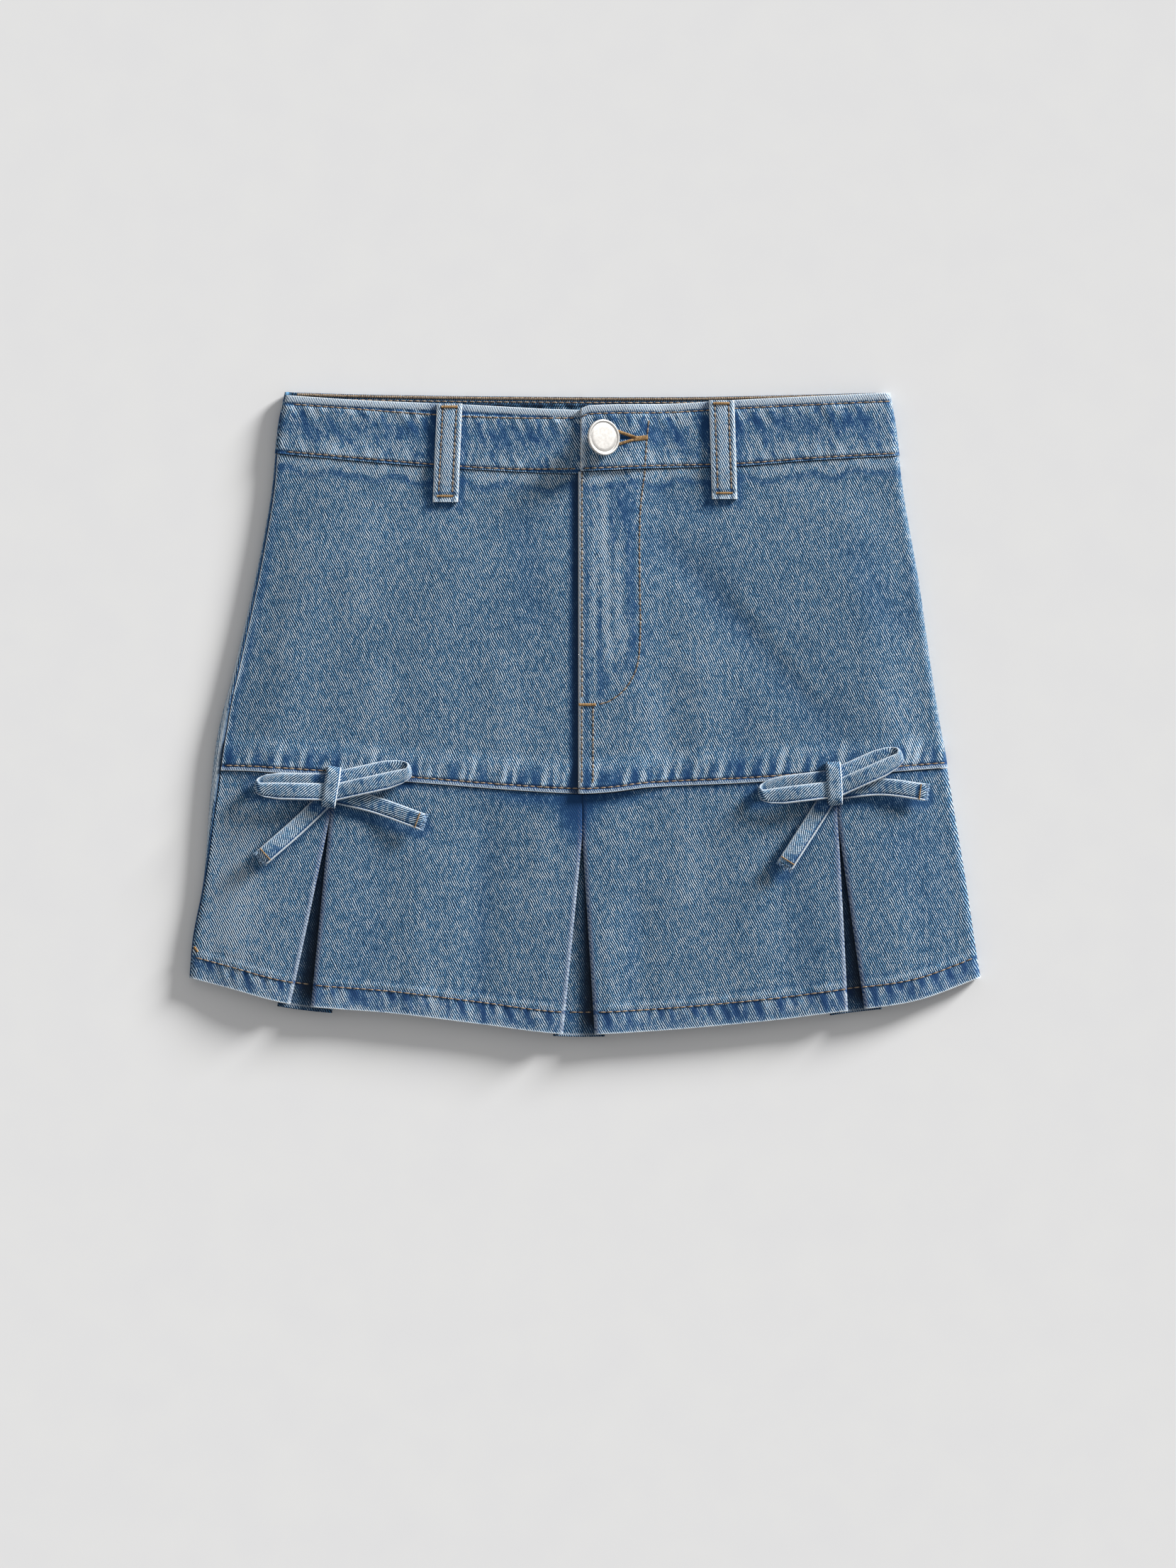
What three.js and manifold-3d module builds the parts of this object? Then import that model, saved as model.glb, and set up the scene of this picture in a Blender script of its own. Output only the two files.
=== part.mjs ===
// Denim skort for a child of about seven, laid flat on its back: a buttoned waistband, two front panels
// with a lapped fly, a flounce with three inverted box pleats, a plain back, plain shorts inside and two
// tied bows on the yoke seam. Millimetres: X to the right, Y towards the waist, Z up out of the front.
// It rests on Z = 0, with the middle of its outline over the origin.

import * as THREE from 'three';
import Module from 'manifold-3d';

const wasm = await Module();
wasm.setup();

// Cloth walls, and the air between pieces
const DENIM = 1.1;
const BAND = 2.0;
const STRIP = 1.4;
const LOOP_CLOTH = 1.6;
const SEAM_GAP = 0.3;

// The outer tube in section: rounded sides, a crown that is lower at the waist than below it
const ROLL = 3.0;
const EDGE_RISE = 28;
const CROWN_WAIST = 0.9;
const CROWN_BODY = 2.5;
const CROWN_FROM_Y = 112;
const CROWN_FULL_Y = 60;
const BAND_PROUD = 0.6;
const YOKE_SWELL = 0.8;
const YOKE_SWELL_SHARE = 0.06;

// The fly and the band's lap: the right side lies over the left
const LAP_EDGE_X = -3.1;
const FLY_UNDERLAP_X = 8;
const BAND_UNDERLAP_X = 16;
const LAP_EASE_FROM_X = 19;
const LAP_EASE_TO_X = 40;

// The right front reaches this far under the right side before it meets the back
const RIGHT_TURN_UNDER = 3;

// Shorts inside: two flat pairs of legs between the back and the front
const SHORTS_CLOTH = 1.3;
const SHORTS_BACK_Z = 1.4;
const SHORTS_FRONT_Z = 3.0;
const SHORTS_SIDE_INSET = 7;
const SHORTS_TOP_DROP = 1;
const SHORTS_HEM_RISE = 8;
const CROTCH_SHARE = 0.62;
const LEG_GAP_HEM = 12;

// Pleats: the wall's spacing from layer to layer, and the height of the underlay's middle
const PLEAT_PITCH = DENIM + SEAM_GAP;
const UNDERLAY_Z = 5.15;
const PLEAT_CLOSED_GAP = 0.6;
const PLEAT_LIFT = 0.6;
const PLEAT_LIFT_FLAT = 12;
const PLEAT_LIFT_FADE = 30;

// Outline seen from the front: the sides, x against y
const LEFT_SIDE = [
  { y: 150.2, x: -139.7 },
  { y: 134.4, x: -143.0 },
  { y: 101.4, x: -146.6 },
  { y: 61.8, x: -154.2 },
  { y: 22.2, x: -163.4 },
  { y: -9.8, x: -171.4 },
  { y: -36.9, x: -174.7 },
  { y: -76.8, x: -177.9 },
  { y: -103.9, x: -182.9 },
  { y: -123.0, x: -184.6 },
];
const RIGHT_SIDE = [
  { y: 150.2, x: 142.0 },
  { y: 134.4, x: 144.8 },
  { y: 101.4, x: 148.8 },
  { y: 61.8, x: 155.7 },
  { y: 22.2, x: 161.3 },
  { y: -10.8, x: 166.6 },
  { y: -37.2, x: 170.9 },
  { y: -76.8, x: 177.5 },
  { y: -109.8, x: 182.4 },
  { y: -123.0, x: 184.6 },
];

// How far the left side seam lies inside the left outline
const SIDE_SEAM_INSET = [
  { y: 150.2, inset: 1.0 },
  { y: 122.5, inset: 1.2 },
  { y: 60, inset: 2.0 },
  { y: 9, inset: 3.0 },
  { y: -10, inset: 4.2 },
  { y: -37, inset: 3.6 },
  { y: -77, inset: 1.2 },
  { y: -123, inset: 0.6 },
];

// Edges and seams that cross the garment, y against x
const BACK_TOP = [
  { x: -139.7, y: 150.2 },
  { x: -106.7, y: 149.2 },
  { x: -46.0, y: 148.3 },
  { x: 49.4, y: 148.0 },
  { x: 142.0, y: 150.0 },
];
const LEFT_TOP = [
  { x: -139.9, y: 148.6 },
  { x: -106.7, y: 146.3 },
  { x: -56.2, y: 144.1 },
  { x: -5.7, y: 141.7 },
  { x: 30.0, y: 142.2 },
  { x: 142.0, y: 149.5 },
];
const RIGHT_TOP = [
  { x: -139.9, y: 148.6 },
  { x: -56.2, y: 142.6 },
  { x: -3.1, y: 141.9 },
  { x: 2.0, y: 143.6 },
  { x: 38.9, y: 144.4 },
  { x: 70.9, y: 146.3 },
  { x: 124.7, y: 148.9 },
  { x: 142.0, y: 149.7 },
];
const LEFT_WAIST_SEAM = [
  { x: -144.6, y: 121.5 },
  { x: -106.7, y: 117.9 },
  { x: -72.4, y: 115.2 },
  { x: -45.9, y: 113.6 },
  { x: -4.4, y: 111.9 },
  { x: 1.5, y: 113.6 },
  { x: 30.0, y: 114.4 },
  { x: 146.4, y: 120.4 },
];
const RIGHT_WAIST_SEAM = [
  { x: -144.6, y: 121.5 },
  { x: -45.9, y: 113.4 },
  { x: -1.1, y: 113.1 },
  { x: 28.0, y: 114.3 },
  { x: 73.2, y: 115.6 },
  { x: 103.2, y: 117.9 },
  { x: 146.4, y: 120.4 },
];
const BACK_WAIST_SEAM = [
  { x: -144.6, y: 121.5 },
  { x: -72.0, y: 116.2 },
  { x: 0, y: 114.2 },
  { x: 72.0, y: 116.0 },
  { x: 146.4, y: 120.4 },
];
const YOKE_SEAM = [
  { x: -173.4, y: -26.3 },
  { x: -154.5, y: -26.7 },
  { x: -79.3, y: -31.9 },
  { x: -34.7, y: -35.4 },
  { x: -2.7, y: -37.1 },
  { x: 12.1, y: -36.4 },
  { x: 30.0, y: -34.2 },
  { x: 77.5, y: -31.9 },
  { x: 169.0, y: -25.0 },
];
const HEM = [
  { x: -184.6, y: -123.0 },
  { x: -168.1, y: -127.3 },
  { x: -137.7, y: -135.1 },
  { x: -88.2, y: -139.7 },
  { x: -48.6, y: -144.6 },
  { x: -11.0, y: -149.1 },
  { x: 24.7, y: -148.3 },
  { x: 83.1, y: -143.3 },
  { x: 121.7, y: -138.4 },
  { x: 154.0, y: -133.7 },
  { x: 184.6, y: -122.8 },
];
const BACK_HEM = [
  { x: -184.6, y: -123.0 },
  { x: -137.7, y: -132.6 },
  { x: 0, y: -145.4 },
  { x: 121.7, y: -135.6 },
  { x: 184.6, y: -122.8 },
];

// The three inverted box pleats. The folds meet at the apex and part towards the hem, where the
// underlay shows between them. The foot is the underlay's width at the hem, depth is how far it reaches
// to each side above the apex, and drop is how far it hangs below the front's edge at the hem.
const PLEATS = [
  {
    apexX: -118.4, apexY: -45.7, foldLeft: -137.7, foldRight: -127.1,
    footLeft: -142.9, footRight: -118.4, depth: 9.5, drop: 2.0,
  },
  {
    apexX: -1.2, apexY: -54.5, foldLeft: -10.8, foldRight: 5.1,
    footLeft: -14.4, footRight: 8.7, depth: 6.5, drop: 1.1,
  },
  {
    apexX: 117.6, apexY: -48.1, foldLeft: 121.9, foldRight: 130.7,
    footLeft: 114.6, footRight: 137.8, depth: 9.0, drop: 1.0,
  },
];

// The largest soft folds of the front, each along a line from start to end: half width and height
const FOLDS = [
  { startX: 41, startY: 75, endX: 120, endY: -14, halfWidth: 12, height: -0.9 },
  { startX: 54, startY: 26, endX: 55, endY: -26, halfWidth: 9, height: 0.7 },
  { startX: -62, startY: 88, endX: -76, endY: -18, halfWidth: 14, height: 0.5 },
  { startX: -118, startY: 60, endX: -126, endY: -10, halfWidth: 11, height: -0.5 },
  { startX: -47, startY: -44, endX: -49, endY: -140, halfWidth: 10, height: -1.0 },
  { startX: -77, startY: -60, endX: -80, endY: -138, halfWidth: 9, height: 0.5 },
  { startX: 26, startY: -84, endX: 25, endY: -142, halfWidth: 8, height: -0.6 },
  { startX: 76, startY: -48, endX: 80, endY: -138, halfWidth: 13, height: 0.7 },
  { startX: 152, startY: -52, endX: 160, endY: -118, halfWidth: 9, height: -0.6 },
];

// Belt loops, from top to bottom
const BELT_LOOPS = [
  { name: 'belt_loop_left', topX: -63.0, bottomX: -65.0, topY: 144.4, bottomY: 98.6 },
  { name: 'belt_loop_right', topX: 63.6, bottomX: 65.0, topY: 146.0, bottomY: 100.0 },
];
const BELT_LOOP_WIDTH = 11.8;
const BELT_LOOP_SETTLE = 10;

// Button and buttonhole
const BUTTON = { x: 8.7, y: 128.3, z: 15.6, radius: 8.5, tilt: THREE.MathUtils.degToRad(29) };
const BUTTON_NOD = THREE.MathUtils.degToRad(4);
const SHANK_RADIUS = 1.5;
const SHANK_LENGTH = 8.0;
const BUTTON_SIDES = 20;
const HOLE = { startX: 2.2, endX: 27, y: 127.9, width: 3.5, eyeRadius: 1.95 };

// Bows: where each knot lies, how it leans, and its loops and tails as seen from the front. A loop
// has a length and an angle from +X; a tail runs to its end, measured from the middle of the knot.
const BOW_STRIP_WIDTH = 8;
const BOW_CLEARANCE = 0.35;
const STRIP_OVER_STRIP = STRIP + SEAM_GAP;
const LOOP_TOP_Z = 4.4;
const LOOP_ARCH = 0.6;
const TAIL_END_LIFT = 3.0;
const KNOT_EDGE = 1.6;
const KNOT_CROWN = 4.4;
const KNOT_TAPER = 0.12;
const BOWS = [
  {
    side: 'left', x: -117.9, y: -34.0, lean: -9, knotWidth: 7.4, knotLength: 19.4,
    loops: [
      { name: 'loop_left', angle: 179, length: 35, spread: 4.6 },
      { name: 'loop_right', angle: 14, length: 37.5, spread: 5.6 },
    ],
    tails: [
      { name: 'tail_left', startX: -2.5, startY: -5.5, bendX: -16, bendY: -18.5, endX: -32.5, endY: -33 },
      { name: 'tail_right', startX: 0.5, startY: -3.5, bendX: 20, bendY: -8.2, endX: 42.5, endY: -16.2 },
    ],
  },
  {
    side: 'right', x: 115.9, y: -32.4, lean: 3, knotWidth: 7.6, knotLength: 20.4,
    loops: [
      { name: 'loop_left', angle: 187, length: 35, spread: 5.2 },
      { name: 'loop_right', angle: 24, length: 34, spread: 5.4 },
    ],
    tails: [
      { name: 'tail_left', startX: -2.5, startY: -6, bendX: -12, bendY: -21, endX: -23, endY: -38 },
      { name: 'tail_right', startX: 2, startY: -3.4, bendX: 22, bendY: -1.6, endX: 42.5, endY: -4.0 },
    ],
  },
];

// Small numeric helpers
const mix = (a, b, share) => a + (b - a) * share;
const clamp01 = (value) => Math.min(1, Math.max(0, value));
const smooth = (value) => clamp01(value) ** 2 * (3 - 2 * clamp01(value));
const steps = (count) => Array.from({ length: count + 1 }, (_, i) => i / count);

// A smooth curve through a short table: the value column against the place column, level past its ends.
function curveThrough(table, place, value) {
  const rows = [...table].sort((a, b) => a[place] - b[place]);
  const at = rows.map((row) => row[place]);
  const to = rows.map((row) => row[value]);
  const slopeOf = (i) => {
    const before = Math.max(0, i - 1);
    const after = Math.min(rows.length - 1, i + 1);
    return (to[after] - to[before]) / (at[after] - at[before]);
  };
  return (where) => {
    if (where <= at[0]) return to[0];
    if (where >= at[at.length - 1]) return to[to.length - 1];
    const i = at.findIndex((end) => where < end) - 1;
    const length = at[i + 1] - at[i];
    const t = (where - at[i]) / length;
    const rise = (2 * t - 3) * t * t;
    return to[i] * (1 + rise) - to[i + 1] * rise
      + length * (t * (1 - t) ** 2 * slopeOf(i) - t * t * (1 - t) * slopeOf(i + 1));
  };
}

const leftSide = curveThrough(LEFT_SIDE, 'y', 'x');
const rightSide = curveThrough(RIGHT_SIDE, 'y', 'x');
const seamInset = curveThrough(SIDE_SEAM_INSET, 'y', 'inset');

// A line across the garment, moved down by drop where it is asked for
function guide(table, drop = 0) {
  const curve = curveThrough(table, 'x', 'y');
  const left = table[0].y - drop;
  const right = table[table.length - 1].y - drop;
  return { at: (x) => curve(x) - drop, left, right, leftX: leftSide(left), rightX: rightSide(right) };
}

// One row of cloth between two guides, at share 0 on the upper one and 1 on the lower one
function rowBetween(upper, lower, share) {
  const leftY = mix(upper.left, lower.left, share);
  const left = leftSide(leftY);
  const right = rightSide(mix(upper.right, lower.right, share));
  const yAt = (x) => {
    const across = (x - left) / (right - left);
    const upperY = upper.at(mix(upper.leftX, upper.rightX, across));
    const lowerY = lower.at(mix(lower.leftX, lower.rightX, across));
    return mix(upperY, lowerY, share);
  };
  return { share, left, right, span: right - left - 2 * ROLL, inset: seamInset(leftY), yAt };
}

// Height of the front's outer face: the crown, the soft folds and the rise over the pleats
function foldHeight(fold, x, y) {
  const along = new THREE.Vector2(fold.endX - fold.startX, fold.endY - fold.startY);
  const length = along.length();
  const from = new THREE.Vector2(x - fold.startX, y - fold.startY);
  const run = from.dot(along) / length;
  const side = from.cross(along) / length;
  const ends = smooth(run / fold.halfWidth / 2 + 0.5) * smooth((length - run) / fold.halfWidth / 2 + 0.5);
  return fold.height * ends * Math.exp(-((side / fold.halfWidth) ** 2));
}

function pleatRise(x, y) {
  return PLEATS.reduce((highest, pleat) => {
    const down = clamp01((pleat.apexY - y) / 90);
    const middle = mix(pleat.apexX, (pleat.foldLeft + pleat.foldRight) / 2, down);
    const away = Math.abs(x - middle) - PLEAT_LIFT_FLAT;
    return Math.max(highest, smooth(1 - away / (PLEAT_LIFT_FADE - PLEAT_LIFT_FLAT)));
  }, 0);
}

function frontHeight(x, y) {
  const fromEdge = Math.min(x - leftSide(y) - ROLL, rightSide(y) - ROLL - x);
  const crown = mix(CROWN_BODY, CROWN_WAIST, smooth((y - CROWN_FULL_Y) / (CROWN_FROM_Y - CROWN_FULL_Y)));
  const below = smooth((-25 - y) / 20);
  const calm = 1 - 0.85 * pleatRise(x, y) * below;
  const folds = FOLDS.reduce((sum, fold) => sum + foldHeight(fold, x, y), 0) * calm;
  return 2 * ROLL + smooth(fromEdge / EDGE_RISE) * (crown + folds + PLEAT_LIFT * pleatRise(x, y) * below);
}

// Places round the tube: -2..-1 along the floor to the left side, -1..0 up the left roll, 0..1 over the
// front from left to right, 1..2 down the right roll, 2..3 back along the floor.
const overFront = (row, x) => (x - row.left - ROLL) / row.span;
const underLeft = (row, x) => -1 - overFront(row, x);
const underRight = (row, x) => 2 + (row.right - ROLL - x) / row.span;

// The place that lies a given way inside the left outline, seen from the front
function insideLeft(row, inset) {
  if (inset >= ROLL) return overFront(row, row.left + inset);
  return -(Math.acos(inset / ROLL - 1) - Math.PI / 2) / Math.PI;
}

// A point on the outer face of the tube and its outward direction, raised by lift except on the floor
function tubePoint(row, place, lift) {
  const onLeft = place > -1 && place < 0;
  const onRight = place > 1 && place < 2;
  if (onLeft || onRight) {
    const turn = Math.PI * (onLeft ? 0.5 - place : 1.5 - place);
    const centreX = onLeft ? row.left + ROLL : row.right - ROLL;
    const out = new THREE.Vector3(Math.cos(turn), 0, Math.sin(turn));
    const radius = ROLL + lift * (1 + out.z) / 2;
    const x = centreX + radius * out.x;
    return { point: new THREE.Vector3(x, row.yAt(x), ROLL + radius * out.z), out };
  }
  const onFront = place >= 0 && place <= 1;
  if (!onFront) {
    const fromLeft = place < 0 ? -(place + 1) : 3 - place;
    const x = row.left + ROLL + fromLeft * row.span;
    return { point: new THREE.Vector3(x, row.yAt(x), 0), out: new THREE.Vector3(0, 0, -1) };
  }
  const x = row.left + ROLL + place * row.span;
  const y = row.yAt(x);
  const slope = (frontHeight(x + 0.5, y) - frontHeight(x - 0.5, y));
  return {
    point: new THREE.Vector3(x, y, frontHeight(x, y) + lift),
    out: new THREE.Vector3(-slope, 0, 1).normalize(),
  };
}

// A closed wall from a grid of outer points and the inner points behind them. Both are lists of rows.
function wallGeometry(outer, inner) {
  const rowCount = outer.length;
  const columnCount = outer[0].length;
  const positions = [...outer.flat(), ...inner.flat()].flatMap((point) => point.toArray());
  const outerAt = (row, column) => row * columnCount + column;
  const innerAt = (row, column) => rowCount * columnCount + outerAt(row, column);
  const faces = [];
  const quad = (a, b, c, d) => faces.push(a, b, c, a, c, d);
  for (let row = 0; row < rowCount - 1; row += 1) {
    for (let column = 0; column < columnCount - 1; column += 1) {
      const [a, b] = [outerAt(row, column), outerAt(row, column + 1)];
      const [c, d] = [outerAt(row + 1, column + 1), outerAt(row + 1, column)];
      const back = rowCount * columnCount;
      quad(a, d, c, b);
      quad(b + back, c + back, d + back, a + back);
    }
    quad(outerAt(row, 0), innerAt(row, 0), innerAt(row + 1, 0), outerAt(row + 1, 0));
    const last = columnCount - 1;
    quad(outerAt(row, last), outerAt(row + 1, last), innerAt(row + 1, last), innerAt(row, last));
  }
  for (let column = 0; column < columnCount - 1; column += 1) {
    const last = rowCount - 1;
    quad(outerAt(0, column), outerAt(0, column + 1), innerAt(0, column + 1), innerAt(0, column));
    quad(outerAt(last, column), innerAt(last, column), innerAt(last, column + 1), outerAt(last, column + 1));
  }
  return facingOut(positions, faces);
}

// A closed geometry from its vertices and faces, turned so that its faces point out
function facingOut(positions, faces) {
  const geometry = new THREE.BufferGeometry();
  geometry.setAttribute('position', new THREE.Float32BufferAttribute(positions, 3));
  geometry.setIndex(faces);
  if (signedVolume(geometry) < 0) geometry.setIndex(faces.reverse());
  geometry.computeVertexNormals();
  return geometry;
}

function signedVolume(geometry) {
  const points = geometry.attributes.position;
  const corner = (i) => new THREE.Vector3().fromBufferAttribute(points, geometry.index.getX(i));
  let sum = 0;
  for (let i = 0; i < geometry.index.count; i += 3) {
    sum += corner(i).dot(corner(i + 1).cross(corner(i + 2)));
  }
  return sum / 6;
}

// A cut piece of the tube: rows of cloth, and for each row the places of its columns
function tubeWall(rows, placesOf, thickness, liftOf) {
  const outer = [];
  const inner = [];
  for (const row of rows) {
    const cloth = placesOf(row).map((place) => {
      const bare = tubePoint(row, place, 0).point;
      const { point, out } = tubePoint(row, place, liftOf(bare.x, row.share));
      return { point, under: point.clone().addScaledVector(out, -thickness(row.share)) };
    });
    outer.push(cloth.map((spot) => spot.point));
    inner.push(cloth.map((spot) => spot.under));
  }
  return wallGeometry(outer, inner);
}

// Corners that share a place become one vertex, and faces with no area go, so that the surface is closed
function welded(geometry) {
  const source = geometry.attributes.position;
  const known = new Map();
  const positions = [];
  const vertexAt = (i) => {
    const place = [source.getX(i), source.getY(i), source.getZ(i)];
    const key = place.map((value) => Math.round(value * 1e4)).join();
    if (!known.has(key)) {
      known.set(key, positions.length / 3);
      positions.push(...place);
    }
    return known.get(key);
  };
  const order = geometry.index ? Array.from(geometry.index.array) : [...Array(source.count).keys()];
  const faces = [];
  for (let i = 0; i < order.length; i += 3) {
    const face = [0, 1, 2].map((corner) => vertexAt(order[i + corner]));
    if (new Set(face).size === 3) faces.push(...face);
  }
  return facingOut(positions, faces);
}

// Boolean cut between two closed geometries
function toSolid(geometry) {
  return new wasm.Manifold(new wasm.Mesh({
    numProp: 3,
    vertProperties: new Float32Array(geometry.attributes.position.array),
    triVerts: new Uint32Array(geometry.index.array),
  }));
}

function cut(geometry, tool) {
  const mesh = toSolid(geometry).subtract(toSolid(tool)).getMesh();
  return facingOut(Array.from(mesh.vertProperties), Array.from(mesh.triVerts));
}

const denim = new THREE.MeshStandardMaterial({ color: 0x677d92, roughness: 0.88, metalness: 0 });
const denimDark = new THREE.MeshStandardMaterial({ color: 0x4a637d, roughness: 0.9, metalness: 0 });
const denimPale = new THREE.MeshStandardMaterial({ color: 0x8296a9, roughness: 0.88, metalness: 0 });
const metal = new THREE.MeshStandardMaterial({ color: 0xd9dbdc, roughness: 0.28, metalness: 1 });

const skort = new THREE.Group();

function add(name, geometry, material, parent = skort) {
  const mesh = new THREE.Mesh(geometry, material);
  mesh.name = name;
  parent.add(mesh);
  return mesh;
}

const yoke = guide(YOKE_SEAM);
const yokeUnder = guide(YOKE_SEAM, SEAM_GAP);
const hem = guide(HEM);
const backHem = guide(BACK_HEM);
const rowsBetween = (upper, lower, shares) => shares.map((share) => rowBetween(upper, lower, share));
const UPPER_SHARES = [0, 0.13, 0.27, 0.41, 0.55, 0.69, 0.82, 1 - YOKE_SWELL_SHARE, 1];
const FLOUNCE_SHARES = [0, 0.1, 0.24, 0.38, 0.52, 0.66, 0.8, 0.9, 1];

// The right side rises over the left side's underlap, and eases down beyond it
const lapRise = (x, wall) => {
  const eased = smooth((x - LAP_EASE_FROM_X) / (LAP_EASE_TO_X - LAP_EASE_FROM_X));
  return (wall + SEAM_GAP) * (1 - eased);
};

// The upper panels swell where their folded lower edge laps the flounce
const yokeSwell = (share) => YOKE_SWELL * smooth((share - 1 + 2 * YOKE_SWELL_SHARE) / YOKE_SWELL_SHARE);

// From the left side seam, with finer columns on the roll, to a line at x on the front
function leftFrontPlaces(row, endX, count) {
  const start = insideLeft(row, row.inset);
  const knee = Math.max(0, start) + 2 / row.span;
  const rolled = steps(2).slice(0, -1).map((share) => mix(start, knee, share));
  return [...rolled, ...steps(count).map((share) => mix(knee, overFront(row, endX), share))];
}

// From a line at x on the front, over the right roll, to a little way under the right side
function rightFrontPlaces(row, startX, count) {
  const front = steps(count).map((share) => mix(overFront(row, startX), 1, share));
  const roll = steps(6).slice(1).map((share) => 1 + share);
  return [...front, ...roll, underRight(row, row.right - ROLL - RIGHT_TURN_UNDER)];
}

// The back lies on the floor. Its left half turns up round the left side to the side seam.
function leftBackPlaces(row, count) {
  const floor = steps(count).map((share) => mix(underLeft(row, -SEAM_GAP / 2), -1, share));
  const end = insideLeft(row, row.inset - SEAM_GAP - 0.1);
  const roll = steps(6).slice(1).map((share) => mix(-1, end, share));
  return [...floor, ...roll];
}

function rightBackPlaces(row, count) {
  const start = underRight(row, row.right - ROLL - RIGHT_TURN_UNDER - SEAM_GAP);
  return steps(count).map((share) => mix(start, underRight(row, SEAM_GAP / 2), share));
}

function wholeBackPlaces(row, count) {
  const floor = steps(count).map((share) => {
    const x = mix(row.right - ROLL - RIGHT_TURN_UNDER - SEAM_GAP, row.left + ROLL, share);
    return underLeft(row, x);
  });
  const end = insideLeft(row, row.inset - SEAM_GAP - 0.1);
  return [...floor, ...steps(5).slice(1).map((share) => mix(-1, end, share))];
}

// Waistband: the left end runs on under the right end, which has the buttonhole
function buildWaistband() {
  const shares = [0, 0.5, 1];
  const bandWall = () => BAND;
  add('waistband_back', tubeWall(
    rowsBetween(guide(BACK_TOP), guide(BACK_WAIST_SEAM), shares),
    (row) => wholeBackPlaces(row, 10), bandWall, () => BAND_PROUD,
  ), denimDark);
  add('waistband_front_left', tubeWall(
    rowsBetween(guide(LEFT_TOP), guide(LEFT_WAIST_SEAM), shares),
    (row) => leftFrontPlaces(row, BAND_UNDERLAP_X, 12), bandWall, () => BAND_PROUD,
  ), denim);
  const right = tubeWall(
    rowsBetween(guide(RIGHT_TOP), guide(RIGHT_WAIST_SEAM), shares),
    (row) => rightFrontPlaces(row, LAP_EDGE_X + 1, 16), bandWall,
    (x) => BAND_PROUD + lapRise(x, BAND),
  );
  add('waistband_front_right', cut(right, buttonholeTool()), denim);
}

// A slot with a round eye at the end where the button sits, cut straight through the band's right end
function buttonholeTool() {
  const half = HOLE.width / 2;
  const eyeX = HOLE.startX + HOLE.eyeRadius;
  const meet = Math.asin(half / HOLE.eyeRadius);
  const outline = new THREE.Shape();
  outline.moveTo(HOLE.endX, half);
  outline.absarc(eyeX, 0, HOLE.eyeRadius, meet, 2 * Math.PI - meet, false);
  outline.lineTo(HOLE.endX, -half);
  outline.closePath();
  const tool = new THREE.ExtrudeGeometry(outline, { depth: BUTTON.z, bevelEnabled: false, curveSegments: 5 });
  tool.translate(0, HOLE.y, 0);
  return welded(tool);
}

// Front panels: the left one runs on under the fly, the right one turns under at the right side
function buildFront() {
  const wall = (share) => DENIM + yokeSwell(share);
  add('front_left', tubeWall(
    rowsBetween(guide(LEFT_WAIST_SEAM, SEAM_GAP), yoke, UPPER_SHARES),
    (row) => leftFrontPlaces(row, FLY_UNDERLAP_X, 13), wall, (x, share) => yokeSwell(share),
  ), denim);
  const lapped = (x, share) => yokeSwell(share) + lapRise(x, wall(share));
  add('front_right', tubeWall(
    rowsBetween(guide(RIGHT_WAIST_SEAM, SEAM_GAP), yoke, UPPER_SHARES),
    (row) => rightFrontPlaces(row, LAP_EDGE_X, 17), wall, lapped,
  ), denim);
}

// Back panels, from the waistband to a hem that stays behind the front's hem
function buildBack() {
  const wall = () => DENIM;
  const rows = [
    ...rowsBetween(guide(BACK_WAIST_SEAM, SEAM_GAP), yoke, UPPER_SHARES),
    ...rowsBetween(yoke, backHem, FLOUNCE_SHARES.slice(1)),
  ];
  add('back_left', tubeWall(rows, (row) => leftBackPlaces(row, 4), wall, () => 0), denimDark);
  add('back_right', tubeWall(rows, (row) => rightBackPlaces(row, 5), wall, () => 0), denimDark);
}

// Half a turn of cloth between two layers, bulging towards +X or -X, from the upper layer down or from
// the lower layer up
function halfTurn(x, upperZ, bulge, down) {
  const radius = PLEAT_PITCH / 2;
  return steps(4).map((share) => {
    const angle = Math.PI * (down ? 0.5 - share : share - 0.5);
    return {
      x: x + bulge * radius * (Math.cos(angle) - 1),
      z: upperZ - radius + radius * Math.sin(angle),
    };
  });
}

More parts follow.
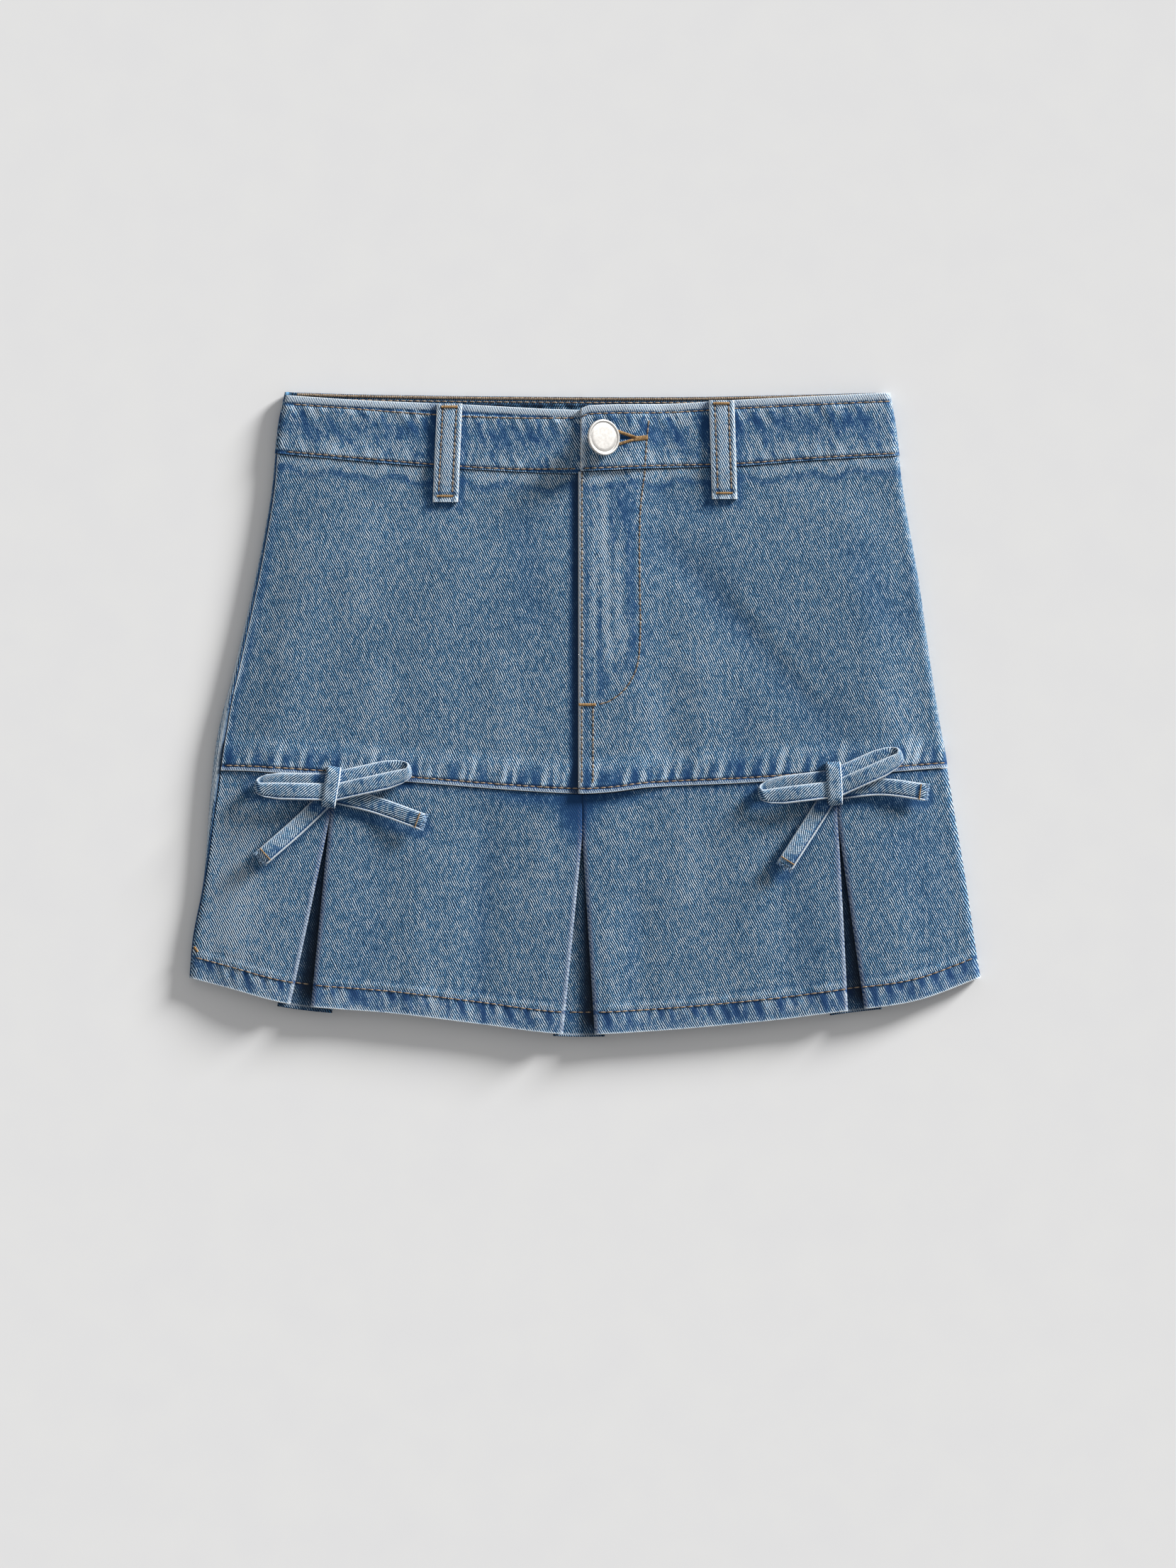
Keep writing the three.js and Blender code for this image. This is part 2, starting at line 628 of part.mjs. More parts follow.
// The middle of the flounce's wall in one row, from the left side seam to under the right side. Each
// spot has x, z and how much lower than the front it hangs at the hem.
function flounceSection(row) {
  const inFold = PLEAT_PITCH / 2;
  const middleOfTube = (place) => {
    const { point, out } = tubePoint(row, place, 0);
    return { x: point.x - (out.x * DENIM) / 2, z: point.z - (out.z * DENIM) / 2, drop: 0 };
  };
  const start = insideLeft(row, row.inset);
  const knee = Math.max(0, start) + 2 / row.span;
  const spots = [middleOfTube(start), middleOfTube(mix(start, knee, 0.5))];
  let spanPlace = knee;
  for (const pleat of PLEATS) {
    const seamY = yoke.at(pleat.apexX);
    const apexShare = (seamY - pleat.apexY) / (seamY - hem.at(pleat.apexX));
    const open = clamp01((row.share - apexShare) / (1 - apexShare));
    const foldLeft = mix(pleat.apexX - PLEAT_CLOSED_GAP / 2, pleat.foldLeft, open);
    const foldRight = mix(pleat.apexX + PLEAT_CLOSED_GAP / 2, pleat.foldRight, open);
    const footLeft = mix(pleat.apexX - pleat.depth, pleat.footLeft, open);
    const footRight = mix(pleat.apexX + pleat.depth, pleat.footRight, open);
    const upperZ = (x) => frontHeight(x, row.yAt(x)) - DENIM / 2;
    const leftEnd = overFront(row, foldLeft - inFold);
    const spanSteps = steps(7).slice(0, -1);
    spots.push(...spanSteps.map((share) => middleOfTube(mix(spanPlace, leftEnd, share))));
    const turn = (x, z, bulge, down, drop) => halfTurn(x, z, bulge, down).map((spot) => ({ ...spot, drop }));
    spots.push(...turn(foldLeft, upperZ(foldLeft - inFold), 1, true, 0));
    spots.push(...turn(footLeft, UNDERLAY_Z + PLEAT_PITCH, -1, true, pleat.drop));
    spots.push({ x: (footLeft + footRight) / 2, z: UNDERLAY_Z, drop: pleat.drop });
    spots.push(...turn(footRight, UNDERLAY_Z + PLEAT_PITCH, 1, false, pleat.drop));
    spots.push(...turn(foldRight, upperZ(foldRight + inFold), -1, false, 0));
    spanPlace = overFront(row, foldRight + inFold + 1.5);
  }
  const rest = [...steps(9).map((share) => mix(spanPlace, 1, share)), ...steps(6).slice(1).map((s) => 1 + s)];
  spots.push(...rest.map(middleOfTube));
  spots.push(middleOfTube(underRight(row, row.right - ROLL - RIGHT_TURN_UNDER)));
  return spots;
}

function buildFlounce() {
  const outer = [];
  const inner = [];
  for (const row of rowsBetween(yokeUnder, hem, FLOUNCE_SHARES)) {
    const spots = flounceSection(row);
    const wall = spots.map((spot, i) => {
      const before = spots[Math.max(0, i - 1)];
      const after = spots[Math.min(spots.length - 1, i + 1)];
      const out = new THREE.Vector3(before.z - after.z, 0, after.x - before.x).normalize();
      const drop = spot.drop * smooth((row.share - 0.6) / 0.4);
      const middle = new THREE.Vector3(spot.x, row.yAt(spot.x) - drop, spot.z);
      return { out, middle };
    });
    outer.push(wall.map(({ middle, out }) => middle.clone().addScaledVector(out, DENIM / 2)));
    inner.push(wall.map(({ middle, out }) => middle.clone().addScaledVector(out, -DENIM / 2)));
  }
  add('flounce_front', wallGeometry(outer, inner), denim);
}

// Shorts: each leg's panel is flat, from the waist seam to a little above the hem
function buildShorts() {
  const layers = [
    { name: 'back', z: SHORTS_BACK_Z },
    { name: 'front', z: SHORTS_FRONT_Z },
  ];
  const top = guide(BACK_WAIST_SEAM, SHORTS_TOP_DROP);
  const bottom = guide(BACK_HEM, -SHORTS_HEM_RISE);
  const rows = rowsBetween(top, bottom, steps(8));
  for (const layer of layers) {
    for (const side of ['left', 'right']) {
      const plate = (z) => rows.map((row) => {
        const parted = clamp01((row.share - CROTCH_SHARE) / (1 - CROTCH_SHARE));
        const inside = SEAM_GAP / 2 + (LEG_GAP_HEM / 2) * Math.sqrt(parted);
        const outside = side === 'left' ? row.left + SHORTS_SIDE_INSET : row.right - SHORTS_SIDE_INSET;
        const inner = side === 'left' ? -inside : inside;
        return steps(4).map((share) => {
          const x = mix(inner, outside, share);
          return new THREE.Vector3(x, row.yAt(x), z);
        });
      });
      const geometry = wallGeometry(plate(layer.z + SHORTS_CLOTH), plate(layer.z));
      add(`shorts_${layer.name}_${side}`, geometry, denimDark);
    }
  }
}

// Belt loops lie over the band and settle on the panel below it
function buildBeltLoops() {
  for (const loop of BELT_LOOPS) {
    const seam = curveThrough(loop.topX < 0 ? LEFT_WAIST_SEAM : RIGHT_WAIST_SEAM, 'x', 'y');
    const face = (rise) => steps(9).map((down) => {
      const middleX = mix(loop.topX, loop.bottomX, down);
      return steps(3).map((across) => {
        const x = middleX + (across - 0.5) * BELT_LOOP_WIDTH;
        const y = mix(loop.topY, loop.bottomY, down);
        const onBand = smooth((y - seam(x) + BELT_LOOP_SETTLE) / BELT_LOOP_SETTLE);
        return new THREE.Vector3(x, y, frontHeight(x, y) + BAND_PROUD * onBand + SEAM_GAP + rise);
      });
    });
    add(loop.name, wallGeometry(face(LOOP_CLOTH), face(0)), denimPale);
  }
}

// A tack button: a dished cap with one plain raised ring, on a short shank
function buildButton() {
  const r = BUTTON.radius;
  const profile = [
    { out: 0, up: 0.2 },
    { out: 0.36 * r, up: 0.25 },
    { out: 0.42 * r, up: 0.6 },
    { out: 0.5 * r, up: 0.6 },
    { out: 0.56 * r, up: 0.25 },
    { out: 0.84 * r, up: 0.35 },
    { out: 0.92 * r, up: 0.75 },
    { out: 0.98 * r, up: 0.5 },
    { out: r, up: -0.2 },
    { out: 0.96 * r, up: -1.0 },
    { out: 0.8 * r, up: -1.5 },
    { out: SHANK_RADIUS + 0.9, up: -1.7 },
    { out: SHANK_RADIUS, up: -2.1 },
    { out: SHANK_RADIUS, up: -SHANK_LENGTH },
    { out: 0, up: -SHANK_LENGTH },
  ];
  const outline = profile.reverse().map(({ out, up }) => new THREE.Vector2(out, up));
  const turned = welded(new THREE.LatheGeometry(outline, BUTTON_SIDES));
  turned.rotateX(Math.PI / 2);
  const button = add('button', turned, metal);
  button.position.set(BUTTON.x, BUTTON.y, BUTTON.z);
  button.rotation.set(-BUTTON_NOD, BUTTON.tilt, 0);
}

// What the bows lie on: the front's outer face with the yoke's swell
const bowGround = (x, y) => frontHeight(x, y) + YOKE_SWELL + SEAM_GAP;

// A flat strip along a path of points, each with a height of its underside over the ground
function stripGeometry(bow, path, sideways) {
  const face = (lift) => path.map((spot, i) => {
    const before = path[Math.max(0, i - 1)];
    const after = path[Math.min(path.length - 1, i + 1)];
    const run = new THREE.Vector2(after.x - before.x, after.y - before.y).normalize();
    const across = sideways ?? new THREE.Vector2(-run.y, run.x);
    const along = new THREE.Vector3(after.x - before.x, after.y - before.y, after.z - before.z).normalize();
    const out = along.clone().cross(new THREE.Vector3(across.x, across.y, 0)).normalize();
    return steps(2).map((share) => {
      const off = (share - 0.5) * BOW_STRIP_WIDTH;
      const x = spot.x + across.x * off;
      const y = spot.y + across.y * off;
      const ground = bowGround(bow.x + x, bow.y + y);
      return new THREE.Vector3(x, y, ground + spot.z).addScaledVector(out, lift);
    });
  });
  return wallGeometry(face(STRIP / 2), face(-STRIP / 2));
}

// A loop goes out low, turns up at its tip and comes back above itself, shifted to its other side
function loopPath(loop) {
  const angle = THREE.MathUtils.degToRad(loop.angle);
  const out = new THREE.Vector2(Math.cos(angle), Math.sin(angle));
  const side = new THREE.Vector2(-out.y, out.x);
  const up = side.y > 0 ? 1 : -1;
  const low = STRIP / 2;
  const high = LOOP_TOP_Z;
  const turnRadius = (high - low) / 2;
  const overTail = (share) => STRIP_OVER_STRIP * (1 - smooth(share * 1.3));
  const away = loop.length - turnRadius;
  const shift = (share) => up * loop.spread * (0.5 - share);
  const sections = [
    ...steps(5).map((share) => ({ run: share * away, z: low + overTail(share), off: shift(0) })),
    ...steps(4).slice(1, -1).map((share) => ({
      run: away + turnRadius * Math.sin(Math.PI * share),
      z: low + turnRadius * (1 - Math.cos(Math.PI * share)),
      off: shift(share),
    })),
    ...steps(5).map((share) => ({
      run: (1 - share) * away,
      z: high + LOOP_ARCH * smooth(share * 2),
      off: shift(1),
    })),
  ];
  const path = sections.map(({ run, z, off }) => {
    const x = out.x * run + side.x * off;
    const y = out.y * run + side.y * off;
    return { x, y, z };
  });
  return { path, side };
}

// A tail runs from under the knot to its cut end, lifting off the cloth towards the end
function tailPath(tail) {
  const points = [
    new THREE.Vector3(tail.startX, tail.startY, 0),
    new THREE.Vector3(tail.bendX, tail.bendY, 0),
    new THREE.Vector3(tail.endX, tail.endY, 0),
  ];
  return new THREE.CatmullRomCurve3(points).getSpacedPoints(9).map((point, i) => {
    const lift = TAIL_END_LIFT * smooth(i / 6 - 0.5);
    return { x: point.x, y: point.y, z: STRIP / 2 + lift };
  });
}

// The knot: a wrapped cushion of cloth that crowns between its edges. Grown is its clearance solid.
function knotGeometry(bow, grown) {
  const width = bow.knotWidth + 2 * grown;
  const length = bow.knotLength + 2 * grown;
  const lean = THREE.MathUtils.degToRad(bow.lean);
  const face = (topSide) => steps(8).map((down) => steps(6).map((across) => {
    const a = (across - 0.5) * 2;
    const b = (0.5 - down) * 2;
    const dome = Math.sqrt(Math.max(0, (1 - a ** 4) * (1 - b ** 6)));
    const localX = (a * width) / 2 * (1 - KNOT_TAPER * b * b);
    const localY = (b * length) / 2;
    const x = localX * Math.cos(lean) - localY * Math.sin(lean);
    const y = localX * Math.sin(lean) + localY * Math.cos(lean);
    const floor = bowGround(bow.x + x, bow.y + y) - grown;
    const rise = topSide ? KNOT_EDGE + grown * 2 + KNOT_CROWN * dome : 0;
    return new THREE.Vector3(x, y, floor + rise);
  }));
  return wallGeometry(face(true), face(false));
}

function buildBow(bow) {
  const group = new THREE.Group();
  group.position.set(bow.x, bow.y, 0);
  skort.add(group);
  const clearance = knotGeometry(bow, BOW_CLEARANCE);
  add(`bow_${bow.side}_knot`, knotGeometry(bow, 0), denimPale, group);
  for (const loop of bow.loops) {
    const { path, side } = loopPath(loop);
    const strip = cut(stripGeometry(bow, path, side), clearance);
    add(`bow_${bow.side}_${loop.name}`, strip, denimPale, group);
  }
  for (const tail of bow.tails) {
    const strip = cut(stripGeometry(bow, tailPath(tail)), clearance);
    add(`bow_${bow.side}_${tail.name}`, strip, denimPale, group);
  }
}

buildWaistband();
buildFront();
buildFlounce();
buildBack();
buildShorts();
buildBeltLoops();
buildButton();
BOWS.forEach(buildBow);

export default skort;
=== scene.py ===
"""Looks of the denim skort, laid flat. Lengths in the tables and helpers are millimetres in the frame of
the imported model: X right, Y towards the waist, Z up. A mesh is scaled to metres where it is made."""
import math

import bpy
import numpy as np
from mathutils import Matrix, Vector
from mathutils.bvhtree import BVHTree


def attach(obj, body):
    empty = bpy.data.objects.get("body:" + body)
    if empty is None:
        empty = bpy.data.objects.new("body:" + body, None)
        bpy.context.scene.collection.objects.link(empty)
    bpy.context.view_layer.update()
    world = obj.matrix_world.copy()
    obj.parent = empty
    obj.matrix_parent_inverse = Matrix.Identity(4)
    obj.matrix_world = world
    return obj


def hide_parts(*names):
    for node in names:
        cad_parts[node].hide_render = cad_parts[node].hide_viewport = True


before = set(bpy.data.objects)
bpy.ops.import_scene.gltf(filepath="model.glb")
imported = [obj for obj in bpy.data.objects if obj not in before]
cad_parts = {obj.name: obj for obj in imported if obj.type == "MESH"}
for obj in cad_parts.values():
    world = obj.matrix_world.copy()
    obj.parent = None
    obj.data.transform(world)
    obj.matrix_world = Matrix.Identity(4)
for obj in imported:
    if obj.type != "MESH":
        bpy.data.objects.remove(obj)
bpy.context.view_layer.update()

METRE = 0.001

# Cloth walls, and the air between pieces
DENIM = 1.1
BAND = 2.0
STRIP = 1.4
LOOP_CLOTH = 1.6
SEAM_GAP = 0.3

# The outer tube in section
ROLL = 3.0
EDGE_RISE = 28
CROWN_WAIST = 0.9
CROWN_BODY = 2.5
CROWN_FROM_Y = 112
CROWN_FULL_Y = 60
BAND_PROUD = 0.6
YOKE_SWELL = 0.8
YOKE_SWELL_SHARE = 0.06

# The most that a raised place lifts the wall's inner face
INNER_RELIEF = 0.12

# The fly and the band's lap
LAP_EDGE_X = -3.1
FLY_UNDERLAP_X = 8
BAND_UNDERLAP_X = 16
LAP_EASE_FROM_X = 19
LAP_EASE_TO_X = 40
RIGHT_TURN_UNDER = 3

# Shorts inside
SHORTS_CLOTH = 1.3
SHORTS_Z = {"back": 1.4, "front": 3.0}
SHORTS_SIDE_INSET = 7
SHORTS_TOP_DROP = 1
SHORTS_HEM_RISE = 8
CROTCH_SHARE = 0.62
LEG_GAP_HEM = 12

# Pleats
PLEAT_PITCH = DENIM + SEAM_GAP
UNDERLAY_Z = 5.15
PLEAT_CLOSED_GAP = 0.6
PLEAT_LIFT = 0.6
PLEAT_LIFT_FLAT = 12
PLEAT_LIFT_FADE = 30

# The outline's sides: y, x
LEFT_SIDE = [
    (150.2, -139.7), (134.4, -143.0), (101.4, -146.6), (61.8, -154.2), (22.2, -163.4),
    (-9.8, -171.4), (-36.9, -174.7), (-76.8, -177.9), (-103.9, -182.9), (-123.0, -184.6),
]
RIGHT_SIDE = [
    (150.2, 142.0), (134.4, 144.8), (101.4, 148.8), (61.8, 155.7), (22.2, 161.3),
    (-10.8, 166.6), (-37.2, 170.9), (-76.8, 177.5), (-109.8, 182.4), (-123.0, 184.6),
]

# How far the left side seam lies inside the left outline: y, inset
SIDE_SEAM_INSET = [
    (150.2, 1.0), (122.5, 1.2), (60, 2.0), (9, 3.0), (-10, 4.2), (-37, 3.6), (-77, 1.2), (-123, 0.6),
]

# Edges and seams that cross the garment: x, y
BACK_TOP = [(-139.7, 150.2), (-106.7, 149.2), (-46.0, 148.3), (49.4, 148.0), (142.0, 150.0)]
LEFT_TOP = [
    (-139.9, 148.6), (-106.7, 146.3), (-56.2, 144.1), (-5.7, 141.7), (30.0, 142.2), (142.0, 149.5),
]
RIGHT_TOP = [
    (-139.9, 148.6), (-56.2, 142.6), (-3.1, 141.9), (2.0, 143.6), (38.9, 144.4), (70.9, 146.3),
    (124.7, 148.9), (142.0, 149.7),
]
LEFT_WAIST_SEAM = [
    (-144.6, 121.5), (-106.7, 117.9), (-72.4, 115.2), (-45.9, 113.6), (-4.4, 111.9), (1.5, 113.6),
    (30.0, 114.4), (146.4, 120.4),
]
RIGHT_WAIST_SEAM = [
    (-144.6, 121.5), (-45.9, 113.4), (-1.1, 113.1), (28.0, 114.3), (73.2, 115.6), (103.2, 117.9),
    (146.4, 120.4),
]
BACK_WAIST_SEAM = [(-144.6, 121.5), (-72.0, 116.2), (0, 114.2), (72.0, 116.0), (146.4, 120.4)]
YOKE_SEAM = [
    (-173.4, -26.3), (-154.5, -26.7), (-79.3, -31.9), (-34.7, -35.4), (-2.7, -37.1), (12.1, -36.4),
    (30.0, -34.2), (77.5, -31.9), (169.0, -25.0),
]
HEM = [
    (-184.6, -123.0), (-168.1, -127.3), (-137.7, -135.1), (-88.2, -139.7), (-48.6, -144.6),
    (-11.0, -149.1), (24.7, -148.3), (83.1, -143.3), (121.7, -138.4), (154.0, -133.7), (184.6, -122.8),
]
BACK_HEM = [(-184.6, -123.0), (-137.7, -132.6), (0, -145.4), (121.7, -135.6), (184.6, -122.8)]

# Pleats: apex x, apex y, fold left, fold right, foot left, foot right, depth, drop
PLEATS = [
    (-118.4, -45.7, -137.7, -127.1, -142.9, -118.4, 9.5, 2.0),
    (-1.2, -54.5, -10.8, 5.1, -14.4, 8.7, 6.5, 1.1),
    (117.6, -48.1, 121.9, 130.7, 114.6, 137.8, 9.0, 1.0),
]

CENTRE_APEX_X = PLEATS[1][0]

# The largest soft folds, in the solids too: start x, start y, end x, end y, half width, height
FOLDS = [
    (41, 75, 120, -14, 12, -0.9),
    (54, 26, 55, -26, 9, 0.7),
    (-62, 88, -76, -18, 14, 0.5),
    (-118, 60, -126, -10, 11, -0.5),
    (-47, -44, -49, -140, 10, -1.0),
    (-77, -60, -80, -138, 9, 0.5),
    (26, -84, 25, -142, 8, -0.6),
    (76, -48, 80, -138, 13, 0.7),
    (152, -52, 160, -118, 9, -0.6),
]

# Finer creases of the front: start x, start y, end x, end y, half width, height
FRONT_CREASES = [
    (70, 58, 112, 6, 5, 0.28),
    (33, 84, 78, 34, 6, -0.25),
    (30, 104, 62, 92, 5, -0.2),
    (88, 104, 128, 92, 7, 0.2),
    (120, 84, 146, 40, 7, -0.22),
    (30, 10, 34, -28, 6, 0.25),
    (74, 8, 70, -26, 6, -0.22),
    (140, 10, 152, -20, 6, 0.2),
    (-30, 96, -22, 40, 7, -0.22),
    (-100, 96, -108, 44, 8, 0.22),
    (-132, 84, -142, 22, 6, 0.2),
    (-40, 30, -36, -30, 7, 0.24),
    (-96, 22, -100, -22, 7, 0.2),
    (-20, -50, -24, -96, 6, 0.25),
    (-98, -52, -104, -118, 6, -0.25),
    (-158, -52, -166, -112, 6, 0.22),
    (48, -48, 46, -92, 7, 0.26),
    (96, -60, 100, -132, 6, -0.28),
    (8, -92, 12, -140, 5, 0.2),
    (146, -84, 150, -126, 6, 0.2),
]

# Creases of the back, which rests on the floor and rises inwards: the same columns, heights inwards
BACK_CREASES = [
    (-120, 96, -60, 20, 9, 0.5),
    (-84, 92, -96, 10, 8, 0.4),
    (-30, 100, -22, 30, 9, 0.45),
    (36, 98, 70, 20, 10, 0.55),
    (92, 92, 128, 14, 9, 0.4),
    (-140, 10, -150, -100, 10, 0.5),
    (-64, -10, -70, -120, 11, 0.6),
    (-18, -30, -26, -132, 9, 0.4),
    (52, -12, 58, -126, 12, 0.6),
    (106, -20, 118, -118, 10, 0.5),
    (148, -30, 160, -104, 8, 0.4),
]


def mix(a, b, share):
    return a + (b - a) * share


def smooth(value):
    held = np.clip(value, 0, 1)
    return held * held * (3 - 2 * held)


def runs(points):
    """The step from the point before to the point after, at each point of a list."""
    last = len(points) - 1
    index = np.arange(last + 1)
    return points[np.minimum(index + 1, last)] - points[np.maximum(index - 1, 0)]


def length_along(points):
    """The length from the start of a list of points to each of them."""
    return np.concatenate([[0], np.cumsum(np.linalg.norm(np.diff(points, axis=0), axis=1))])


def curve_through(rows):
    """A smooth curve through rows of place and value, level past its ends."""
    at, to = np.array(sorted(rows), float).T
    slope = runs(to) / runs(at)

    def value(where):
        held = np.clip(where, at[0], at[-1])
        i = np.clip(np.searchsorted(at, held, side="right") - 1, 0, len(at) - 2)
        length = at[i + 1] - at[i]
        t = (held - at[i]) / length
        rise = (2 * t - 3) * t * t
        bend = t * (1 - t) ** 2 * slope[i] - t * t * (1 - t) * slope[i + 1]
        return to[i] * (1 + rise) - to[i + 1] * rise + length * bend

    return value


left_side = curve_through(LEFT_SIDE)
right_side = curve_through(RIGHT_SIDE)
seam_inset = curve_through(SIDE_SEAM_INSET)


class Guide:
    """A line across the garment, moved down by drop."""

    def __init__(self, rows, drop=0.0):
        self.curve = curve_through(rows)
        self.drop = drop
        self.left = rows[0][1] - drop
        self.right = rows[-1][1] - drop
        self.left_x = float(left_side(self.left))
        self.right_x = float(right_side(self.right))

    def at(self, x):
        return self.curve(x) - self.drop


class Rows:
    """Rows of cloth between two guides, at share 0 on the upper one and 1 on the lower one."""

    def __init__(self, upper, lower, shares):
        self.upper = upper
        self.lower = lower
        self.share = np.asarray(shares, float)[:, None]
        left_y = mix(upper.left, lower.left, self.share)
        self.left = left_side(left_y)
        self.right = right_side(mix(upper.right, lower.right, self.share))
        self.span = self.right - self.left - 2 * ROLL
        self.inset = seam_inset(left_y)

    def y_at(self, x):
        across = (x - self.left) / (self.right - self.left)
        upper_y = self.upper.at(mix(self.upper.left_x, self.upper.right_x, across))
        lower_y = self.lower.at(mix(self.lower.left_x, self.lower.right_x, across))
        return mix(upper_y, lower_y, self.share)

    def over_front(self, x):
        return (x - self.left - ROLL) / self.span

    def under_left(self, x):
        return -1 - self.over_front(x)

    def under_right(self, x):
        return 2 + (self.right - ROLL - x) / self.span

    def inside_left(self, inset):
        """The place that lies a given way inside the left outline, seen from the front."""
        rolled = -(np.arccos(np.clip(inset / ROLL - 1, -1, 1)) - np.pi / 2) / np.pi
        return np.where(inset >= ROLL, self.over_front(self.left + inset), rolled)


def ridge_along(x, y, row):
    """One soft fold along a line: start x, start y, end x, end y, half width, height."""
    start_x, start_y, end_x, end_y, half_width, height = row
    length = math.hypot(end_x - start_x, end_y - start_y)
    along_x = (end_x - start_x) / length
    along_y = (end_y - start_y) / length
    run = (x - start_x) * along_x + (y - start_y) * along_y
    side = (x - start_x) * along_y - (y - start_y) * along_x
    ends = smooth(run / half_width / 2 + 0.5) * smooth((length - run) / half_width / 2 + 0.5)
    return height * ends * np.exp(-((side / half_width) ** 2))


def pleat_rise(x, y):
    """1 over the pleats, falling to 0 beside them."""
    highest = np.zeros(np.broadcast(x, y).shape)
    for apex_x, apex_y, fold_left, fold_right, *_ in PLEATS:
        down = np.clip((apex_y - y) / 90, 0, 1)
        middle = mix(apex_x, (fold_left + fold_right) / 2, down)
        away = np.abs(x - middle) - PLEAT_LIFT_FLAT
        highest = np.maximum(highest, smooth(1 - away / (PLEAT_LIFT_FADE - PLEAT_LIFT_FLAT)))
    return highest


def front_height(x, y):
    """Height of the front's outer face: the crown, the soft folds and the rise over the pleats."""
    from_edge = np.minimum(x - left_side(y) - ROLL, right_side(y) - ROLL - x)
    to_waist = smooth((y - CROWN_FULL_Y) / (CROWN_FROM_Y - CROWN_FULL_Y))
    crown = mix(CROWN_BODY, CROWN_WAIST, to_waist)
    below = smooth((-25 - y) / 20)
    rise = pleat_rise(x, y)
    folds = sum(ridge_along(x, y, row) for row in FOLDS) * (1 - 0.85 * rise * below)
    return 2 * ROLL + smooth(from_edge / EDGE_RISE) * (crown + folds + PLEAT_LIFT * rise * below)


def tube_point(rows, place, lift=0.0, back=False):
    """Points on the tube's outer face, their outward directions, and their way round the tube as it is
    cut: places run -2..-1 along the floor to the left side, 0..1 over the front, 2..3 back on the floor."""
    on_left = (place > -1) & (place < 0)
    rolled = on_left | ((place > 1) & (place < 2))
    front = (place >= 0) & (place <= 1)
    turn = np.pi * np.where(on_left, 0.5 - place, 1.5 - place)
    out_x = np.where(rolled, np.cos(turn), 0)
    out_z = np.where(rolled, np.sin(turn), np.where(front, 1, -1))
    centre = np.where(on_left, rows.left + ROLL, rows.right - ROLL)
    radius = ROLL + lift * (1 + out_z) / 2
    from_left = np.where(front, place, np.where(place < 0, -(place + 1), 3 - place))
    x = np.where(rolled, centre + radius * out_x, rows.left + ROLL + from_left * rows.span)
    y = rows.y_at(x)
    slope = front_height(x + 0.5, y) - front_height(x - 0.5, y)
    length = np.sqrt(1 + slope ** 2)
    z = np.where(rolled, ROLL + radius * out_z, np.where(front, front_height(x, y) + lift, 0))
    out = np.stack([np.where(front, -slope / length, out_x), 0 * x, np.where(front, 1 / length, out_z)], -1)
    arc = np.pi * ROLL
    if back:
        way = np.where(rolled, -(rows.left + ROLL) + arc * (place + 1), -x)
    else:
        right = rows.right - ROLL
        way = np.where(on_left, rows.left + ROLL + arc * place, x)
        way = np.where((place > 1) & (place < 2), right + arc * (place - 1), way)
        way = np.where(place >= 2, right + arc + (right - x), way)
    return np.stack([x, y, z], -1), out, way


def steps(start, end, count):
    """Shares from start to end along a new last axis, where either may be a column of rows."""
    start, end = np.broadcast_arrays(np.asarray(start, float), np.asarray(end, float))
    return start + (end - start) * np.linspace(0, 1, count + 1)


def link(obj):
    bpy.context.scene.collection.objects.link(obj)
    return obj


def make_mesh(name, points, faces, uvs=None, attributes=None, materials=()):
    """A smooth object from points in millimetres. UVs and attributes are per point."""
    mesh = bpy.data.meshes.new(name)
    faces = faces.tolist() if isinstance(faces, np.ndarray) else faces
    mesh.from_pydata((np.asarray(points) * METRE).tolist(), [], faces)
    mesh.polygons.foreach_set("use_smooth", np.ones(len(mesh.polygons), bool))
    if uvs is not None:
        corners = np.zeros(len(mesh.loops), np.int32)
        mesh.loops.foreach_get("vertex_index", corners)
        layer = mesh.uv_layers.new(name="Cloth")
        layer.data.foreach_set("uv", np.asarray(uvs, np.float32)[corners].ravel())
    for key, values in (attributes or {}).items():
        layer = mesh.attributes.new(key, "FLOAT", "POINT")
        layer.data.foreach_set("value", np.asarray(values, np.float32).ravel())
    for material in materials:
        mesh.materials.append(material)
    mesh.update()
    return link(bpy.data.objects.new(name, mesh))


def wall_faces(row_count, column_count):
    """Quads of a closed wall: an outer grid, an inner grid behind it, and the rim between them."""
    index = np.arange(row_count * column_count).reshape(row_count, column_count)
    back = row_count * column_count
    a, b, c, d = index[:-1, :-1], index[:-1, 1:], index[1:, 1:], index[1:, :-1]
    quads = [
        np.stack([a, d, c, b], -1),
        np.stack([b, c, d, a], -1) + back,
    ]
    left, right, top, bottom = index[:, 0], index[:, -1], index[0], index[-1]
    rims = [
        (left[:-1], left[:-1] + back, left[1:] + back, left[1:]),
        (right[:-1], right[1:], right[1:] + back, right[:-1] + back),
        (top[:-1], top[1:], top[1:] + back, top[:-1] + back),
        (bottom[:-1], bottom[:-1] + back, bottom[1:] + back, bottom[1:]),
    ]
    quads += [np.stack(rim, -1) for rim in rims]
    return np.concatenate([quad.reshape(-1, 4) for quad in quads])


